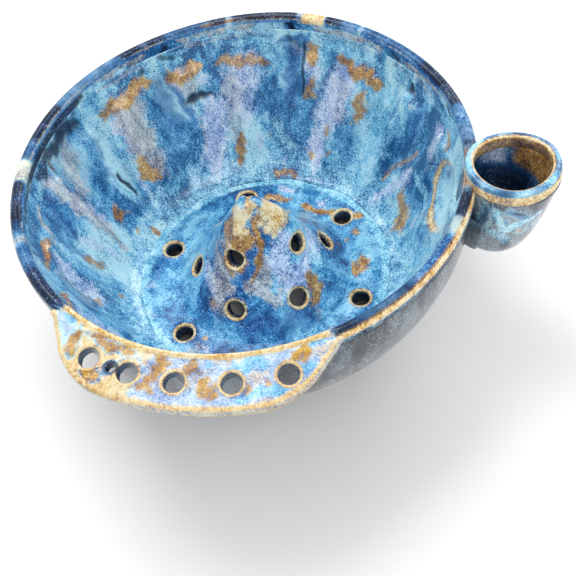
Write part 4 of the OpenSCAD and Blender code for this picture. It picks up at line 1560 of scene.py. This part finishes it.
@dataclass
class CupLip(ClayPiece):
    """The rolled lip of the cup: a speckled top over a cream band."""

    cup: CupPlace = field(default_factory=CupPlace)
    wave: float = 0.25
    steps: int = 256

    def section(self) -> list[tuple[float, float]]:
        """Return the lip's section: up its inside, over its bead and down its band."""
        c = self.cup
        inner, outer, low = c.lip_inside, c.radius + c.overhang, -c.lip_height
        inside = ((0.5, low), (0.1, low + 1.2), (0.0, low + 3.0), (0.1, -1.2), (0.35, -0.45), (0.9, -0.05),
                  (1.7, 0.0))
        outside = ((1.1, -0.1), (0.5, -0.5), (0.3, -1.1), (0.38, -1.5), (0.1, -1.9), (-0.05, -2.8),
                   (-0.05, -3.8), (0.1, -4.7), (0.5, low + 0.2), (1.1, low))
        return [(inner + d, z) for d, z in inside] + [(outer - d, z) for d, z in outside]

    def build(self) -> bpy.types.Object:
        """Turn the lip, wave it a little, place it and paint it."""
        c = self.cup
        obj = Clay.turned(self.name, self.section(), self.steps)
        Clay.finish_modifier(obj, "SUBSURF", levels=2, render_levels=2)
        own = Clay.points(obj)
        a, r, z = polar(own)
        own[:, :2] *= c.oval(a, z)
        own[:, 2] += self.wave * np.sin(np.radians(a) * 2 + 1)
        Clay.place(obj, self.shape.thrown(c.put(own, c.mouth(self.shape))))
        Clay.paint(obj, self.dress(a, r, own[:, 2]))
        return obj

    def dress(self, a: np.ndarray, r: np.ndarray, z: np.ndarray) -> Masks:
        """Paint the lip.

        Args:
            a: Direction of each point round the cup, in degrees.
            r: Radius of each point as turned.
            z: Height of each point over the mouth.

        Returns:
            The lip's masks.
        """
        c = self.cup
        inner = c.lip_inside
        broken = 0.5 + 0.5 * np.sin(np.radians(a) * 5 + 1.1) * np.sin(np.radians(a) * 3 + 0.4)
        inner_line = hump(r - inner - 0.55, 0.42) * soft_step((z + 1.4) / 0.6)
        band = soft_step((-z - 1.4) / 0.4) * (r > c.radius - 0.9)
        bead = soft_step((z + 1.5) / 0.4) * soft_step((r - inner - 0.9) / 0.4)
        inside = (r < inner + 0.6) * soft_step((-z - 1.0) / 0.6)
        masks = Masks()
        masks.lay(Mask.CREST, inner_line * 0.95, band * (0.58 + 0.4 * broken))
        masks.lay(Mask.AMBER, hump(r - inner - 0.5, 0.9), band * 0.8, inside * broken)
        masks.lay(Mask.SKY, bead * (0.1 + 0.6 * broken))
        masks.lay(Mask.DUSK, bead * (0.9 - 0.6 * broken))
        masks.lay(Mask.NIGHT, bead * 0.55 * (1 - broken), inside * 0.6 * (1 - broken),
                  hump(z + 1.45, 0.25) * (r > c.radius - 0.9) * 0.6)
        masks.lay(Mask.BACK, (z < -c.lip_height + 0.45) * 1.0)
        return masks


@dataclass
class CupSaddle(ClayPiece):
    """The pad of clay smoothed between the cup and the wall."""

    cup: CupPlace = field(default_factory=CupPlace)
    thickness: float = 1.8
    reach: float = 5.0
    low_share: float = 0.63
    high_share: float = 0.88
    sink: float = 0.8
    pad_rise: float = 5.0
    core_rise: float = 9.0
    cup_steps: int = 96
    wall_steps: int = 180
    rows: int = 12
    voxel: float = 0.4
    passes: int = 8

    def cup_form(self, name: str, inset: float, rise: float) -> bpy.types.Object:
        """Turn the cup's body as a solid, set in by inset and drawn up by rise, where the cup stands."""
        c = self.cup
        (r, z), *rest = c.side(inset)
        section = [(r, z + rise)] + rest + [(0.0, rest[-1][1]), (0.0, z + rise)]
        obj = Clay.turned(name, section, self.cup_steps)
        Clay.place(obj, c.put(Clay.points(obj), c.body(self.shape)))
        return obj

    def build(self) -> bpy.types.Object:
        """Cut the pad from what lies close to both the cup and the wall, melt its edges and paint it."""
        sh = self.shape
        obj = self.cup_form(self.name, -self.thickness, self.pad_rise)
        shares = np.linspace(self.low_share, self.high_share, self.rows)
        heights = [sh.floor_top + share * sh.wall_height for share in shares]
        near = [(sh.wall_outside(z) - self.sink, z) for z in heights]
        far = [(sh.wall_outside(z) + self.reach, z) for z in reversed(heights)]
        Clay.cut(obj, Clay.turned("saddle_zone", near + far, self.wall_steps), "INTERSECT")
        Clay.cut(obj, self.cup_form("cup_core", self.cup.wall / 2, self.core_rise))
        Clay.soften(obj, self.voxel, self.passes)
        points = Clay.points(obj)
        Clay.place(obj, sh.thrown(points))
        high = soft_step((points[:, 2] - sh.rim_seat + 9) / 6)
        # NIGHT low on the pad is painted shade under the cup.
        Clay.paint(obj, Masks({Mask.BACK: 1 - 0.8 * high, Mask.ROSE: 0.5 * high, Mask.SKY: 0.4 * high,
                               Mask.NIGHT: 0.3 * (1 - high)}))
        return obj


@dataclass
class FootRing(ClayPiece):
    """The turned ring that the bowl stands on, bare at its foot."""

    radius: float = 52.6
    width: float = 5.8
    height: float = 7.0
    rounding: float = 1.6
    bare_height: float = 1.2
    steps: int = 360

    def build(self) -> bpy.types.Object:
        """Turn the foot ring and paint it."""
        k, inner = self.rounding, self.radius - self.width
        arc = [(k * math.cos(math.radians(18 * i)), k * math.sin(math.radians(18 * i))) for i in range(6)]
        section = [(inner, self.height + 0.2), (inner, k)]
        section += [(inner + k - c, k - s) for c, s in arc[1:]]
        section += [(self.radius - k + s, k - c) for c, s in arc]
        section += [(self.radius - 0.1, self.height * 0.6), (self.radius + 0.2, self.height + 0.2)]
        obj = Clay.turned(self.name, section, self.steps)
        Clay.paint(obj, Masks({Mask.BACK: soft_step((Clay.points(obj)[:, 2] - self.bare_height) / 0.8)}))
        return obj


@dataclass
class Studio:
    """The camera, the floor and the lights."""

    elevation: float = 46.7
    azimuth: float = 22.7
    roll: float = -13.0
    distance: float = 450.0
    focal_pixels: float = 1234.0
    frame_pixels: float = 576.0
    rim_pixel: tuple[float, float] = (240.2, 166.5)
    sensor: float = 36.0
    ambient: float = 0.75

    def camera(self, target_height: float) -> bpy.types.Object:
        """Set the camera up as the photograph was taken.

        Args:
            target_height: Height of the rim's centre, which falls on rim_pixel, in millimetres.

        Returns:
            The camera.
        """
        e, roll = math.radians(self.elevation), math.radians(self.roll)
        back = Vector((0, -math.cos(e), math.sin(e)))
        level = Matrix(((1, 0, 0), (0, -math.sin(e), -math.cos(e)), tuple(-back)))
        turned = Matrix.Rotation(roll, 3, "Z") @ level
        half = self.frame_pixels / 2
        aim = Vector(((self.rim_pixel[0] - half) / self.focal_pixels,
                      (self.rim_pixel[1] - half) / self.focal_pixels, 1)).normalized()
        view = Vector((0, 0, 1)).rotation_difference(aim).to_matrix() @ turned
        about = Matrix.Rotation(math.radians(self.azimuth), 3, "Z")
        right, down, ahead = (about @ Vector(view[i]) for i in range(3))
        data = bpy.data.cameras.new("camera")
        data.sensor_width = self.sensor
        data.lens = self.focal_pixels / self.frame_pixels * self.sensor
        data.clip_end = 20
        camera = bpy.data.objects.new("camera", data)
        bpy.context.scene.collection.objects.link(camera)
        axes = Matrix((right, -down, -ahead)).transposed()
        spot = about @ (back * self.distance * MM) + Vector((0, 0, target_height * MM))
        camera.matrix_world = Matrix.Translation(spot) @ axes.to_4x4()
        bpy.context.scene.camera = camera
        return camera

    def floor(self) -> bpy.types.Object:
        """Lay the pale floor."""
        Clay.clear_selection()
        bpy.ops.mesh.primitive_plane_add(size=6.0)
        floor = bpy.context.object
        floor.name = "studio_floor"
        paint = bpy.data.materials.new("studio_floor")
        paint.use_nodes = True
        tree = paint.node_tree
        shader = tree.nodes["Principled BSDF"]
        shader.inputs["Base Color"].default_value = (0.86, 0.86, 0.86, 1)
        shader.inputs["Roughness"].default_value = 0.9
        floor.data.materials.append(paint)
        return floor

    def lamp(self, name: str, spot: tuple[float, float, float], size: float, power: float) -> None:
        """Hang a soft square lamp that points at the bowl."""
        data = bpy.data.lights.new(name, "AREA")
        data.size = size
        data.energy = power
        lamp = bpy.data.objects.new(name, data)
        bpy.context.scene.collection.objects.link(lamp)
        lamp.location = spot
        lamp.rotation_euler = (Vector((0, 0, 0.04)) - Vector(spot)).to_track_quat("-Z", "Y").to_euler()

    def light(self) -> None:
        """Hang the lamps and light the surroundings evenly."""
        self.lamp("key_lamp", (-0.35, 0.35, 1.0), 0.6, 7.0)
        self.lamp("fill_lamp", (0.7, -0.6, 0.9), 0.8, 5.0)
        self.lamp("back_lamp", (0.4, 0.9, 0.6), 0.5, 3.0)
        world = bpy.data.worlds.new("studio")
        world.use_nodes = True
        tree = world.node_tree
        tree.nodes.clear()
        mix = tree.nodes.new("ShaderNodeMixShader")
        for socket, strength in ((1, self.ambient), (2, 1.0)):
            glow = tree.nodes.new("ShaderNodeBackground")
            glow.inputs["Color"].default_value = (1, 1, 1, 1)
            glow.inputs["Strength"].default_value = strength
            tree.links.new(glow.outputs[0], mix.inputs[socket])
        path = tree.nodes.new("ShaderNodeLightPath")
        output = tree.nodes.new("ShaderNodeOutputWorld")
        tree.links.new(path.outputs["Is Camera Ray"], mix.inputs["Fac"])
        tree.links.new(mix.outputs[0], output.inputs["Surface"])
        bpy.context.scene.world = world
        bpy.context.scene.view_settings.view_transform = "Standard"


def clay_pieces(shape: BowlShape, cup: CupPlace) -> list[ClayPiece]:
    """Return the bowl's pieces, each with the node that it replaces and its glaze."""
    return [
        FootRing(shape, "foot_ring", Glaze(
            "foot_glaze", "foot_glaze", body=((0.36, "8c7a66"), (0.50, "a3907a"), (0.64, "b5a38d")),
            speck="6a5a48", spark="c6b8a6", flow=Flow.LEVEL, roughness=0.55)),
        BowlFloor(shape, "bowl_floor", Glaze(
            "floor_glaze", "inner_glaze", flow=Flow.LEVEL, seed=0.31, body=POOL, gloss=0.25)),
        StrainerCone(shape, "strainer_cone", Glaze(
            "cone_glaze", "cone_glaze", flow=Flow.LEVEL, seed=0.31, body=POOL, gloss=0.5)),
        FlutedWall(shape, "fluted_wall", Glaze("wall_glaze", "wall_glaze"), cup),
        RolledRim(shape, "rolled_rim", Glaze(
            "rim_glaze", "rim_glaze", flow=Flow.LEVEL, seed=0.44, gloss=0.25), cup),
        PouringLedge(shape, "pouring_ledge", Glaze(
            "ledge_glaze", "ledge_glaze", coats=LEDGE_COATS, flow=Flow.LEVEL, seed=0.17, gloss=0.3,
            speck="5274a8")),
        SideCup(shape, "side_cup", Glaze(
            "cup_glaze", "cup_glaze", seed=0.5, back_roughness=0.2,
            back=((0.34, "18222e"), (0.50, "46545f"), (0.66, "82909a"))), cup),
        CupLip(shape, "cup_lip", Glaze(
            "lip_glaze", "lip_glaze", flow=Flow.LEVEL, seed=0.9, speck="5c5a58", gloss=0.6), cup),
        CupSaddle(shape, "cup_saddle", Glaze("saddle_glaze", "saddle_glaze", seed=0.6), cup),
    ]


def main() -> None:
    """Build the bowl's pieces and the studio."""
    logging.basicConfig(level=logging.INFO, format="%(name)s: %(message)s")
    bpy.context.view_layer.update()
    shape = BowlShape()
    studio = Studio()
    studio.camera(shape.rim_top)
    for piece in clay_pieces(shape, CupPlace()):
        piece.make()
    studio.floor()
    studio.light()


if __name__ == "__main__":
    main()
